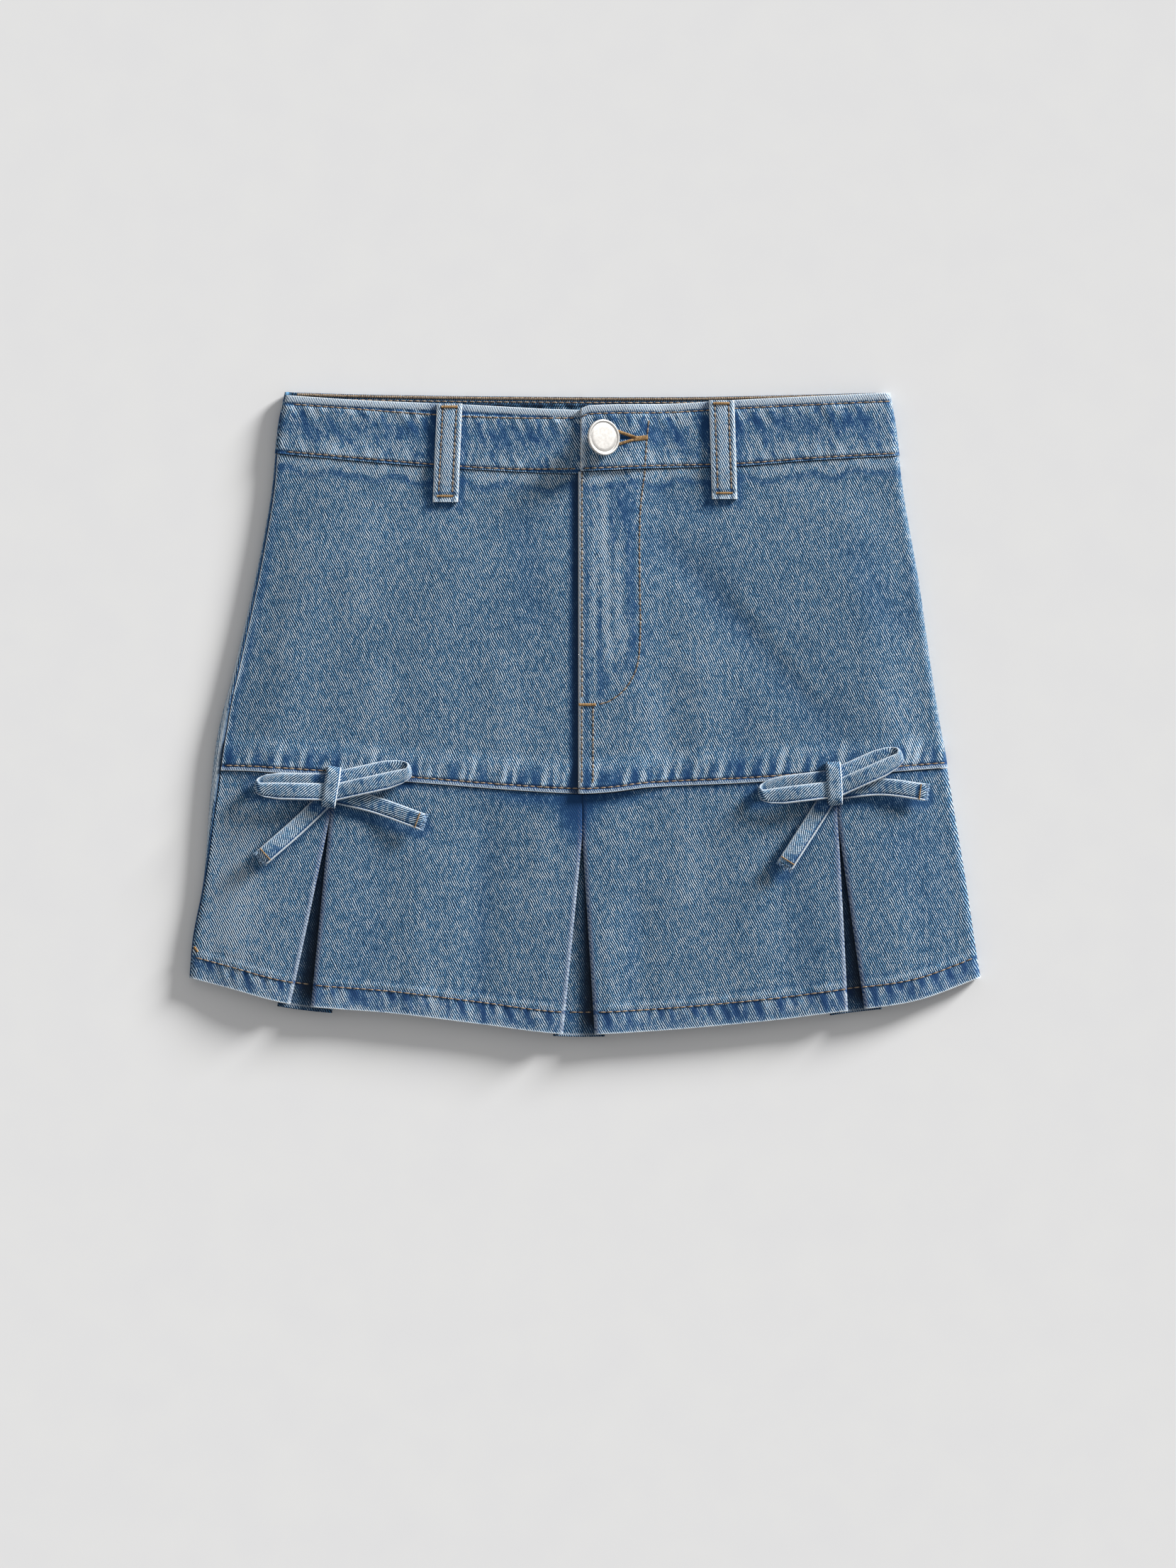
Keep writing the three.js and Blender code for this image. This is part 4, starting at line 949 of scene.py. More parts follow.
def build_waistband():
    def band(name, top_rows, seam_rows, places_of, wall_lift, start_x=None, back=False):
        top, seam = Guide(top_rows), Guide(seam_rows)
        rows = Rows(top, seam, rows_of(30, 1.0, (0, 5.5, 0.4), (27, 30, 0.4)))
        places = places_of(rows)

        def marks(point, raised):
            x, y = point[..., 0], point[..., 1]
            below_top = top.at(x) - y
            above_seam = y - seam.at(x)
            worn = 0.85 * smooth((TOP_STITCH - 0.4 - below_top) / 0.8) * (not back)
            if start_x is not None:
                worn = np.maximum(worn, 0.8 * smooth((2.4 - x + start_x) / 0.8))
            rope = 0.7 * smooth((below_top - TOP_STITCH) / 1.5)
            from_top = below_top - TOP_STITCH
            from_seam = above_seam - BAND_STITCH
            fade = stitch_groove_shade(from_top) + stitch_groove_shade(from_seam) - 0.02 - 0.05 * back
            fade = fade + streaks(x, from_top, BAND_TOP_STREAKS) + streaks(x, from_seam, BAND_SEAM_STREAKS)
            fade = fade - 0.06 * near(from_top - 9, 6)
            if not back:
                fade = fade - BAND_LOOP_SHADOW_AND_UNFADED * loop_shadow_and_unfaded(x, y) + wash_and_fold_shade(x, y, BAND_WASH)
                # Painted shade in the buttonhole's slot
                fade = fade - 0.6 * buttonhole(x, y)
            rim = 0.7 * near(below_top, 1.0) * (not back)
            if start_x is not None:
                rim = np.maximum(rim, near(x - start_x, 0.9))
            return {"fade": fade, "worn": np.clip(worn, 0, 1.1), "rope": rope, "rim": rim}

        return wall_of(
            name, rows, places, lambda share: BAND, wall_lift,
            lambda x, y: band_relief(x, y, top.at(x), seam.at(x)) - 0.3 * back, marks, back=back,
        )

    def whole_back(rows):
        return left_back_places(rows, rows.right - ROLL - RIGHT_TURN_UNDER - SEAM_GAP, 230)

    back = band("band_back", BACK_TOP, BACK_WAIST_SEAM, whole_back, lambda x, s: BAND_PROUD, back=True)
    left = band(
        "band_left", LEFT_TOP, LEFT_WAIST_SEAM,
        lambda rows: left_front_places(rows, BAND_UNDERLAP_X, 150), lambda x, s: BAND_PROUD,
    )
    right = band(
        "band_right", RIGHT_TOP, RIGHT_WAIST_SEAM,
        lambda rows: right_front_places(rows, LAP_EDGE_X + 1, 150),
        lambda x, s: BAND_PROUD + lap_rise(x, BAND), start_x=LAP_EDGE_X + 1,
    )
    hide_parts("waistband_back")
    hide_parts("waistband_front_left")
    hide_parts("waistband_front_right")
    return [back, left, right]


def build_front():
    def wall(share):
        return DENIM + yoke_swell(share)

    def relief(x, y):
        return front_relief(x, y) + trench(y - yoke.at(x) - YOKE_STITCH, 0.4, 0.7)

    def marks_from(waist, edge_x):
        def marks(point, raised):
            x, y = point[..., 0], point[..., 1]
            above_yoke = y - yoke.at(x)
            below_waist = waist.at(x) - y
            scallop = 5.8 + 1.2 * np.sin(x / 4.3) + 0.8 * np.sin(x / 2.6 + 1)
            fade = 0.10 * smooth((scallop - below_waist) / 1.5)
            fade = fade - 0.17 * np.exp(-(((below_waist - scallop - 1.4) / 1.5) ** 2))
            from_stitch = above_yoke - YOKE_STITCH
            fade = fade + stitch_groove_shade(from_stitch) - 0.24 * near(from_stitch - 2, 10)
            fade = fade + streaks(x, from_stitch, YOKE_STREAKS)
            fade = fade + wash_and_fold_shade(x, y, PANEL_WASH_AND_SHADE) + np.clip(raised * HEIGHT_FADE, -0.2, 0.2)
            fade = fade - PANEL_LOOP_SHADOW_AND_UNFADED * loop_shadow_and_unfaded(x, y) - PANEL_BOW_SHADOW * bow_painted_shadow(x, y)
            worn = 0.75 * smooth((YOKE_STITCH - 0.3 - above_yoke) / 0.7)
            if edge_x is not None:
                worn = np.maximum(worn, 0.8 * smooth((edge_x + 2.3 - x) / 0.8))
            else:
                from_side = x - left_side(y) - seam_inset(y)
                worn = worn + 0.8 * near(from_side, 1.0)
                fade = fade - 0.16 * near(from_side - 2.4, 2.2)
            rope = 0.5 * near(above_yoke - 5, 9) + 0.4 * near(below_waist - 5, 8)
            rope = rope + 0.5 * smooth((30 - x) / 5) * smooth((x + 2) / 3) * smooth(y / 20)
            rim = near(above_yoke, 0.8)
            if edge_x is not None:
                rim = np.maximum(rim, near(x - edge_x, 0.9))
                fade = fade - 0.16 * near(x - edge_x - 3.6, 1.4)
            else:
                rim = np.maximum(rim, near(from_side, 0.6))
                # Painted shadow on the left front under the right front's lapped edge at the fly
                fade = fade - 0.42 * smooth((x + 8.5) / 4)
            # Painted shade under the same lapped edge, on the left front only
            shade = 0.5 * smooth((x + 8) / 4) * (edge_x is None)
            return {
                "fade": fade, "worn": np.clip(worn, 0, 1), "rope": np.clip(rope, 0, 1), "rim": rim,
                "shade": shade,
            }

        return marks

    shares = rows_of(149, 1.3, (0, 2, 0.5), (144.5, 149, 0.35))
    rows = Rows(Guide(LEFT_WAIST_SEAM, SEAM_GAP), yoke, shares)
    left = wall_of(
        "panel_left", rows, left_front_places(rows, FLY_UNDERLAP_X, 120), wall,
        lambda x, share: yoke_swell(share), relief, marks_from(waist_left, None),
    )
    rows = Rows(Guide(RIGHT_WAIST_SEAM, SEAM_GAP), yoke, shares)
    right = wall_of(
        "panel_right", rows, right_front_places(rows, LAP_EDGE_X, 124), wall,
        lambda x, share: yoke_swell(share) + lap_rise(x, wall(share)), relief,
        marks_from(waist_right, LAP_EDGE_X),
    )
    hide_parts("front_left")
    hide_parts("front_right")
    return [left, right]


def build_back():
    def relief(x, y):
        creases = -sum(ridge_along(x, y, row) for row in BACK_CREASES)
        above_hem = y - back_hem.at(x)
        creases = creases + trench(above_hem - HEM_STITCH, 0.6) + trench(np.abs(x) - CENTRE_STITCH, 0.6)
        return creases - 0.5 * puckers(x, HEM_STITCH - above_hem, -180, 180, *BACK_HEM_PUCKERS)

    def marks(point, raised):
        x, y = point[..., 0], point[..., 1]
        above_hem = y - back_hem.at(x)
        fade = np.clip(0.04 + raised * 0.12, -0.2, 0.2) + stitch_groove_shade(above_hem - HEM_STITCH)
        fade = fade + 0.5 * stitch_groove_shade(np.abs(x) - CENTRE_STITCH)
        fade = fade + streaks(x, HEM_STITCH - above_hem, BACK_HEM_STREAKS) * (above_hem < HEM_STITCH)
        from_seam = left_side(y) + seam_inset(y) - x
        rolled = smooth((point[..., 2] - 3.0) / 1.5) * (x < 0)
        fade = fade + (0.2 - 0.6 * near(from_seam - 0.6, 1.0)) * rolled
        rim = np.maximum(near(above_hem, 0.8), 0.9 * near(from_seam - 2.2, 1.2) * rolled)
        worn = 0.8 * near(above_hem, 1.5)
        rope = near(above_hem - 5, 8)
        return {"fade": fade, "worn": worn, "rope": rope, "rim": rim}

    class BackRows(Rows):
        """Rows from the waist seam to the yoke's height, then on to the hem."""

        def __init__(self, upper_shares, lower_shares):
            upper = Rows(Guide(BACK_WAIST_SEAM, SEAM_GAP), yoke, upper_shares)
            lower = Rows(yoke, back_hem, lower_shares)
            self.parts = [upper, lower]
            for key in ("share", "left", "right", "span", "inset"):
                setattr(self, key, np.concatenate([getattr(upper, key), getattr(lower, key)]))

        def y_at(self, x):
            split = len(self.parts[0].share)
            x = np.broadcast_to(x, (len(self.share), np.shape(x)[-1]))
            return np.concatenate([self.parts[0].y_at(x[:split]), self.parts[1].y_at(x[split:])])

    rows = BackRows(np.linspace(0, 1, 56), np.linspace(0, 1, 45)[1:])
    left = wall_of(
        "back_panel_left", rows, left_back_places(rows, -SEAM_GAP / 2, 60), lambda share: DENIM,
        lambda x, share: 0, relief, marks, back=True,
    )
    start = rows.under_right(rows.right - ROLL - RIGHT_TURN_UNDER - SEAM_GAP)
    right = wall_of(
        "back_panel_right", rows, steps(start, rows.under_right(SEAM_GAP / 2), 60), lambda share: DENIM,
        lambda x, share: 0, relief, marks, back=True,
    )
    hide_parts("back_left")
    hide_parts("back_right")
    return [left, right]


def half_turn(x, upper_z, bulge, down, count=6):
    """Half a turn of cloth between two layers, bulging towards +X or -X."""
    radius = PLEAT_PITCH / 2
    share = np.linspace(0, 1, count + 1)
    angle = np.pi * ((0.5 - share) if down else (share - 0.5))
    return x + bulge * radius * (np.cos(angle) - 1), upper_z - radius + radius * np.sin(angle)


# Parts of the flounce's section
ON_FRONT, IN_FOLD, ON_UNDERLAY = 0, 1, 2

# Columns of the flounce's mesh from the left edge to the first pleat, between the pleats, and past them
SPAN_COLUMNS = (40, 88, 88, 42)


def flounce_section(row):
    """The middle of the flounce's wall in one row: x, z, drop, part and way along the cloth."""
    share = float(row.share[0, 0])
    parts = []

    def add(x, z, drop, part):
        x = np.asarray(x, float).ravel()
        z = np.broadcast_to(np.ravel(z), x.shape)
        parts.append((x, z, np.full(x.shape, drop), np.full(x.shape, part)))

    def add_tube(places):
        point, out, _ = tube_point(row, places)
        add(point[..., 0] - out[..., 0] * DENIM / 2, point[..., 2] - out[..., 2] * DENIM / 2, 0.0, ON_FRONT)

    in_fold = PLEAT_PITCH / 2
    start = row.inside_left(row.inset)
    knee = np.maximum(0, start) + 2 / row.span
    add_tube(steps(start, knee, 4)[:, :-1])
    span_place = knee
    for number, (apex_x, apex_y, left, right, foot_left, foot_right, depth, drop) in enumerate(PLEATS):
        seam_y = yoke.at(apex_x)
        apex_share = (seam_y - apex_y) / (seam_y - hem.at(apex_x))
        opened = float(np.clip((share - apex_share) / (1 - apex_share), 0, 1))
        fold_left = mix(apex_x - PLEAT_CLOSED_GAP / 2, left, opened)
        fold_right = mix(apex_x + PLEAT_CLOSED_GAP / 2, right, opened)
        under_left = mix(apex_x - depth, foot_left, opened)
        under_right = mix(apex_x + depth, foot_right, opened)
        upper_z = [
            float(front_height(x, row.y_at(x))[0, 0]) - DENIM / 2
            for x in (np.array([[fold_left - in_fold]]), np.array([[fold_right + in_fold]]))
        ]
        edge_place = row.over_front(fold_left - in_fold)
        add_tube(steps(span_place, edge_place, SPAN_COLUMNS[number])[:, :-1])
        add(*half_turn(fold_left, upper_z[0], 1, True), 0.0, IN_FOLD)
        add(*half_turn(under_left, UNDERLAY_Z + PLEAT_PITCH, -1, True), drop, ON_UNDERLAY)
        inside = np.linspace(under_left, under_right, 12)[1:-1]
        add(inside, UNDERLAY_Z, drop, ON_UNDERLAY)
        add(*half_turn(under_right, UNDERLAY_Z + PLEAT_PITCH, 1, False), drop, ON_UNDERLAY)
        add(*half_turn(fold_right, upper_z[1], -1, False), 0.0, IN_FOLD)
        span_place = row.over_front(fold_right + in_fold + 1.2)
    add_tube(steps(span_place, 1, SPAN_COLUMNS[-1]))
    add_tube(steps(1 + 0 * row.left, 2, 10)[:, 1:])
    add_tube(row.under_right(row.right - ROLL - RIGHT_TURN_UNDER))
    x, z, drop, part = (np.concatenate(column) for column in zip(*parts))
    return x, z, drop, part


def pleat_shade(x, y):
    """How deep the painted shade lies on the underlays between the folds, and 1 beside the fold at each
    pleat's right, where painted shade darkens the fold's edge.
    """
    shade = np.zeros(x.shape)
    lee_shade = np.zeros(x.shape)
    for apex_x, _, fold_left, fold_right, _, _, _, _ in PLEATS:
        down = np.clip((-45 - y) / 92, 0, 1)
        left_x = mix(apex_x, fold_left, down)
        right_x = mix(apex_x, fold_right, down)
        across = (x - left_x) / (right_x - left_x + 1)
        inside = smooth((across + 0.6) / 0.2) * smooth((1.6 - across) / 0.2)
        if apex_x == CENTRE_APEX_X:
            depth = smooth((across - 0.35) / 0.4)
        else:
            depth = 0.55 + 0.45 * smooth(across / 0.7)
        lee_shade = np.maximum(lee_shade, near(x - right_x, 4) > 0)
        shade = np.maximum(shade, inside * depth)
    return shade, lee_shade


def build_flounce():
    outer, inner, parts, ways, folds = [], [], [], [], []
    for share in rows_of(108, 1.4, (0, 2, 0.5), (95, 99.5, 0.5), (106, 108, 0.4)):
        row = Rows(yoke_under, hem, [share])
        x, z, drop, part = flounce_section(row)
        run = np.stack([runs(x), runs(z)], -1)
        run /= np.linalg.norm(run, axis=-1, keepdims=True)
        out = np.stack([-run[:, 1], 0 * x, run[:, 0]], -1)
        y = row.y_at(x[None, :])[0] - drop * smooth((share - 0.6) / 0.4)
        middle = np.stack([x, y, z], -1)
        outer.append(middle + out * DENIM / 2)
        inner.append(middle - out * DENIM / 2)
        parts.append(part)
        ways.append(x)
        turn = x[part == IN_FOLD]
        folds.append(np.abs(x[:, None] - turn[None, :]).min(1))
    outer, inner = np.array(outer), np.array(inner)
    part, fold = np.array(parts), np.array(folds)
    x, y = outer[..., 0], outer[..., 1]
    on_front = (part == ON_FRONT) * smooth(fold / 8)
    facing = np.clip((outer - inner)[..., 2] / DENIM, 0, 1)
    raised = flounce_relief(x, y)
    raised = np.where(fold < 26, np.maximum(raised, -0.05), raised) * on_front * facing
    outer[..., 2] += raised
    inner[..., 2] += np.clip(raised, None, INNER_RELIEF)
    above_hem = y - hem.at(x)
    below_yoke = yoke.at(x) - y
    worn = np.maximum(0.9 * near(above_hem, 1.6), 0.16 * smooth((HEM_STITCH - 0.5 - above_hem) / 0.8))
    rim = np.maximum(near(above_hem, 0.9), 0.9 * near(fold, 1.0) * (part != ON_UNDERLAY))
    fade = wash_and_fold_shade(x, y, FLOUNCE_WASH_AND_SHADE) + np.clip(raised * HEIGHT_FADE, -0.2, 0.2)
    from_stitch = above_hem - HEM_STITCH
    # Painted shadow under the fronts' raised lower edge along the yoke seam
    fade = fade - 0.15 * near(below_yoke, 6) + stitch_groove_shade(from_stitch)
    fade = fade + streaks(x, -from_stitch, HEM_STREAKS) * (above_hem < HEM_STITCH)
    fade = fade - 0.10 * smooth(-from_stitch / 1.0) * (1 - near(above_hem, 3))
    # The streaks come from the wash; the thin dark line 5 above the stitches is painted shade above the
    # hem's raised upper edge
    fade = fade + streaks(x, from_stitch, ABOVE_HEM_STREAKS) - 0.10 * near(from_stitch - 5, 1.6)
    fade = fade - FLOUNCE_BOW_SHADOW * bow_painted_shadow(x, y)
    hidden = part == ON_UNDERLAY
    on_band = smooth((HEM_STITCH - above_hem) / 3)
    # Painted shade along the fold edges, most beside each pleat's right fold, and on the underlays between
    # the folds, less on the hem band
    fade = fade - 0.05 * near(fold, 3) * (part == ON_FRONT)
    shade, lee_shade = pleat_shade(x, y)
    fade = fade - (0.24 - 0.16 * on_band) * hidden * shade - (0.18 + 0.1 * lee_shade) * near(fold, 1.2) * ~hidden
    shade = shade * hidden * (0.95 - 0.5 * on_band * smooth((7 - above_hem) / 7))
    rope = np.maximum(0.6 * smooth(-from_stitch / 1.5), 0.25 * near(from_stitch, 9))
    rope = np.maximum(rope, 0.4 * near(below_yoke, 10)) * (part == ON_FRONT)
    marks = {
        "fade": fade, "worn": np.clip(worn, 0, 1.1) * ~hidden, "rope": rope, "rim": rim, "shade": shade,
    }
    piece = cloth_wall("flounce", outer, inner, (np.array(ways), y), marks, denim)
    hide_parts("flounce_front")
    return [piece]


def build_shorts():
    made = []
    top = Guide(BACK_WAIST_SEAM, SHORTS_TOP_DROP)
    bottom = Guide(BACK_HEM, -SHORTS_HEM_RISE)
    rows = Rows(top, bottom, np.linspace(0, 1, 60))
    for layer, base in SHORTS_Z.items():
        for side in ("left", "right"):
            parted = np.clip((rows.share - CROTCH_SHARE) / (1 - CROTCH_SHARE), 0, 1)
            inside = SEAM_GAP / 2 + LEG_GAP_HEM / 2 * np.sqrt(parted)
            if side == "left":
                x = steps(-inside, rows.left + SHORTS_SIDE_INSET, 40)
            else:
                x = steps(inside, rows.right - SHORTS_SIDE_INSET, 40)
            y = rows.y_at(x)
            plate = np.stack([x, y, np.full(x.shape, float(base))], -1)
            lift = np.array([0, 0, SHORTS_CLOTH])
            marks = {"fade": 0 * x, "worn": 0 * x, "rope": 0 * x}
            piece = cloth_wall(f"leg_{layer}_{side}", plate + lift, plate, (x, y), marks, shorts_cloth)
            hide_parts(f"shorts_{layer}_{side}")
            made.append(piece)
    return made


def build_belt_loops():
    made = []
    for name, top_x, bottom_x, top_y, bottom_y in BELT_LOOPS:
        seam = waist_left if top_x < 0 else waist_right
        down = rows_of(46, 0.9, (0, 2, 0.4), (3.5, 5, 0.4), (41, 46, 0.4))[:, None]
        across = np.array(BELT_LOOP_ACROSS)[None, :]
        x = mix(top_x, bottom_x, down) + across * BELT_LOOP_WIDTH
        y = np.broadcast_to(mix(top_y, bottom_y, down), x.shape)
        on_band = smooth((y - seam.at(x) + BELT_LOOP_SETTLE) / BELT_LOOP_SETTLE)
        floor = front_height(x, y) + BAND_PROUD * on_band + SEAM_GAP
        from_top = down * (top_y - bottom_y)
        from_bottom = (1 - down) * (top_y - bottom_y)
        ends = np.minimum(from_top, from_bottom)
        belly = 0.5 * smooth(ends / 9)
        edge = (0.5 - np.abs(across)) * BELT_LOOP_WIDTH
        stitched = trench(edge - BELT_LOOP_STITCH, 0.28, 0.6)
        stitched = stitched + trench(from_bottom - BELT_LOOP_TACK, 0.35, 0.6)
        top = floor + LOOP_CLOTH - 0.35 * smooth((np.abs(across) - 0.42) / 0.08) + belly + stitched
        worn = 0.14 + 0.6 * near(edge, 1.5) + 0.5 * near(from_bottom, 2.6) + 0.4 * near(from_top, 2) + 0 * x
        fade = 0.16 + 0.9 * stitch_groove_shade(edge - BELT_LOOP_STITCH) - 0.3 * near(from_bottom - 4.2, 0.9)
        outer = np.stack([x, y, top], -1)
        inner = np.stack([x, y, floor + belly * 0.6], -1)
        marks = {
            "fade": fade + 0 * x, "worn": np.clip(worn, 0, 1), "rope": 0.35 + 0 * x,
            "rim": 0 * x + 0.6 * near(edge, 0.7),
        }
        piece = cloth_wall(f"{name}_cloth", outer, inner, (x, y), marks, denim)
        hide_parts(name)
        made.append(piece)
    return made


# Button: a lathe profile of radius share and height, its place and tilt
BUTTON = {"x": 8.7, "y": 128.3, "z": 15.6, "radius": 8.5, "tilt": math.radians(29), "nod": math.radians(4)}
BUTTON_PROFILE = [
    (0.0, 0.34), (0.3, 0.34), (0.6, 0.32), (0.755, 0.30), (0.775, 0.20), (0.80, 0.17), (0.825, 0.20),
    (0.845, 0.36), (0.87, 0.50), (0.90, 0.60), (0.93, 0.62), (0.96, 0.54), (0.985, 0.34), (1.0, 0.0),
    (0.985, -0.6), (0.94, -1.1), (0.8, -1.5), (0.28, -1.7), (0.2, -2.1), (0.176, -2.6), (0.176, -8.0),
    (0.0, -8.0),
]


def button_metal():
    s = Shade("button_metal")
    place = s.node("ShaderNodeTexCoord").outputs["Object"]
    inputs = {"Vector": place, "Scale": 700.0, "Detail": 3.0}
    grain = s.node("ShaderNodeTexNoise", inputs).outputs["Fac"]
    colour = s.ramp(grain, [(0.3, srgb(186, 183, 179)), (0.7, srgb(198, 195, 191))])
    roughness = s.scaled(grain, 0.12, 0.34)
    return s.surface(colour, roughness, grain, 0.000006, Metallic=0.6)


def build_button():
    """The profile turned about its own axis, leaning to the right and a little towards the waist."""
    sides = 72
    angle = np.linspace(0, 2 * np.pi, sides, endpoint=False)
    profile = np.array(BUTTON_PROFILE)
    radius = profile[:, 0] * BUTTON["radius"]
    x = radius[:, None] * np.cos(angle)
    y = radius[:, None] * np.sin(angle)
    z = np.broadcast_to(profile[:, 1:2], x.shape)
    nod, tilt = -BUTTON["nod"], BUTTON["tilt"]
    x1 = x * math.cos(tilt) + z * math.sin(tilt)
    z1 = z * math.cos(tilt) - x * math.sin(tilt)
    y2 = y * math.cos(nod) - z1 * math.sin(nod)
    z2 = y * math.sin(nod) + z1 * math.cos(nod)
    points = np.stack([x1 + BUTTON["x"], y2 + BUTTON["y"], z2 + BUTTON["z"]], -1).reshape(-1, 3)
    index = np.arange(len(profile) * sides).reshape(len(profile), sides)
    across = np.roll(index, -1, 1)
    faces = np.stack([index[:-1], index[1:], across[1:], across[:-1]], -1).reshape(-1, 4)
    piece = make_mesh("tack_button", points, faces, materials=[button_metal()])
    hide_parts("button")
    return piece


def bow_ground(x, y):
    """The height that the bows lie on."""
    return front_height(x, y) + YOKE_SWELL + SEAM_GAP


def loop_path(angle, length, spread):
    """A loop goes out low, turns up at its tip and comes back above itself."""
    turned = math.radians(angle)
    out = np.array([math.cos(turned), math.sin(turned)])
    side = np.array([-out[1], out[0]])
    up = 1 if side[1] > 0 else -1
    low, high = STRIP / 2, LOOP_TOP_Z
    radius = (high - low) / 2
    away = length - radius
    share = np.linspace(0, 1, 31)
    first = (
        share * away,
        low + STRIP_OVER_STRIP * (1 - smooth(share * 1.3)),
        up * spread * 0.5 + 0 * share,
    )
    round_tip = np.linspace(0, 1, 11)[1:-1]
    second = (
        away + radius * np.sin(np.pi * round_tip),
        low + radius * (1 - np.cos(np.pi * round_tip)),
        up * spread * (0.5 - round_tip),
    )
    pinched = LOOP_PINCH * smooth(share * 2 - 1)
    third = (
        (1 - share) * away,
        high + LOOP_ARCH * smooth(share * 2) - pinched,
        -up * spread * 0.5 + 0 * share,
    )
    run, z, off = (np.concatenate(column) for column in zip(first, second, third))
    return np.stack([out[0] * run + side[0] * off, out[1] * run + side[1] * off, z], -1), side


def spline_points(points, count):
    """Evenly spaced points on a smooth curve through three points."""
    a, b, c = (np.array(point, float) for point in points)
    knots = [2 * a - b, a, b, c, 2 * c - b]
    spans = []
    for i in range(2):
        p0, p1, p2, p3 = knots[i:i + 4]
        t = np.linspace(0, 1, 60)[:, None]
        m1, m2 = (p2 - p0) / 2, (p3 - p1) / 2
        spans.append(
            (2 * t ** 3 - 3 * t ** 2 + 1) * p1 + (t ** 3 - 2 * t ** 2 + t) * m1
            + (3 * t ** 2 - 2 * t ** 3) * p2 + (t ** 3 - t ** 2) * m2
        )
    line = np.concatenate(spans)
    length = length_along(line)
    wanted = np.linspace(0, length[-1], count)
    return np.stack([np.interp(wanted, length, line[:, i]) for i in range(line.shape[1])], -1)


def tail_path(tail):
    """A tail bends sideways and rises towards its cut end."""
    _, *numbers = tail
    line = spline_points([numbers[0:2], numbers[2:4], numbers[4:6]], 44)
    lift = TAIL_END_LIFT * smooth(np.linspace(0, 9, 44) / 6 - 0.5)
    return np.concatenate([line, (STRIP / 2 + lift)[:, None]], 1)


# The strip in half section, from its corded seam edge over the top: across, height, wear; a wear below 0
# is painted shade in the groove inside the cord
STRIP_SECTION = [
    (-4.00, 0.00, 1.0), (-3.97, 0.34, 1.0), (-3.80, 0.66, 1.0), (-3.50, 0.78, 1.0), (-3.20, 0.66, 0.9),
    (-3.02, 0.36, -1.0), (-2.80, 0.34, -1.0), (-2.50, 0.60, -0.1), (-1.80, 0.72, 0.1), (-0.6, 0.78, 0),
    (0.8, 0.78, 0), (2.2, 0.74, 0), (3.2, 0.62, 0.3), (3.75, 0.36, 0.9), (4.0, 0.0, 0.9),
]


def rounded_tip(x, y, side, tip):
    """Draws the corners of a loop's tip in, so that its outline is round."""
    out_x, out_y = side[1], -side[0]
    if tip[0] * out_x + tip[1] * out_y < 0:
        out_x, out_y = -out_x, -out_y
    reach = tip[0] * out_x + tip[1] * out_y
    run = x * out_x + y * out_y
    off = x * side[0] + y * side[1]
    near_tip = smooth((run - reach + 15) / 15)
    pull = near_tip * 3.4 * np.clip(np.abs(off) / 6.4, 0, 1.2) ** 3
    squeeze = 1 - 0.14 * smooth((run - reach + 12) / 12)
    run, off = run - pull, off * squeeze
    return run * out_x + off * side[0], run * out_y + off * side[1]


def strip_piece(name, bow_x, bow_y, path, sideways=None, tip=None):
    """A flat strip with a corded edge along a path. UV runs along it and round it."""
    along = runs(path)
    flat = along[:, :2] / np.linalg.norm(along[:, :2], axis=1, keepdims=True)
    across = np.stack([-flat[:, 1], flat[:, 0]], -1)
    if sideways is not None:
        across = np.tile(sideways, (len(path), 1))
    along = along / np.linalg.norm(along, axis=1, keepdims=True)
    out = np.cross(along, np.concatenate([across, np.zeros((len(path), 1))], 1))
    out /= np.linalg.norm(out, axis=1, keepdims=True)
    over = np.array(STRIP_SECTION)
    section = np.concatenate([over, over[-2:0:-1] * (1, -1, 1)])
    low_edge = -1 if across[0, 1] < 0 else 1
    wide = section[:, 0] * low_edge * BOW_WIDTH / 8
    thick = section[:, 1] * STRIP / 1.56
    upside = np.sign(out[:1, 2:3] + 1e-6)
    local_x = path[:, None, 0] + across[:, None, 0] * wide
    local_y = path[:, None, 1] + across[:, None, 1] * wide
    if tip is not None:
        local_x, local_y = rounded_tip(local_x, local_y, across[0], tip)
    x, y = bow_x + local_x, bow_y + local_y
    z = bow_ground(x, y) + path[:, None, 2]
    points = np.stack([x, y, z], -1) + upside[:, :, None] * out[:, None, :] * thick[None, :, None]
    count, sides = len(path), len(section)
    index = np.arange(count * sides).reshape(count, sides)
    turned = np.roll(index, -1, 1)
    faces = np.stack([index[:-1], turned[:-1], turned[1:], index[1:]], -1).reshape(-1, 4).tolist()
    faces += [index[0][::-1].tolist(), index[-1].tolist()]
    if low_edge * upside[0, 0] * np.sign(np.cross(along[0], np.append(across[0], 0))[2]) > 0:
        faces = [face[::-1] for face in faces]
    run = length_along(path)
    round_it = np.cumsum(np.hypot(np.diff(section[:, 0], prepend=-4), np.diff(section[:, 1], prepend=0)))
    uvs = np.stack(np.broadcast_arrays(run[:, None], round_it * low_edge), -1).reshape(-1, 2)
    worn = np.broadcast_to(np.clip(section[:, 2], 0, 1), x.shape)
    # Painted shade in the groove inside the cord, and on the strip where it leaves the knot
    fade = 0.04 + 0.42 * np.clip(section[:, 2], -1, 0) - 0.30 * near(run - 4, 6)[:, None]
    marks = {"fade": fade + 0 * x, "worn": 0.5 * worn, "rim": 0.8 * worn, "rope": 0.8 - 0.6 * worn}
    return make_mesh(name, points.reshape(-1, 3), faces, uvs, marks, [bow_denim])


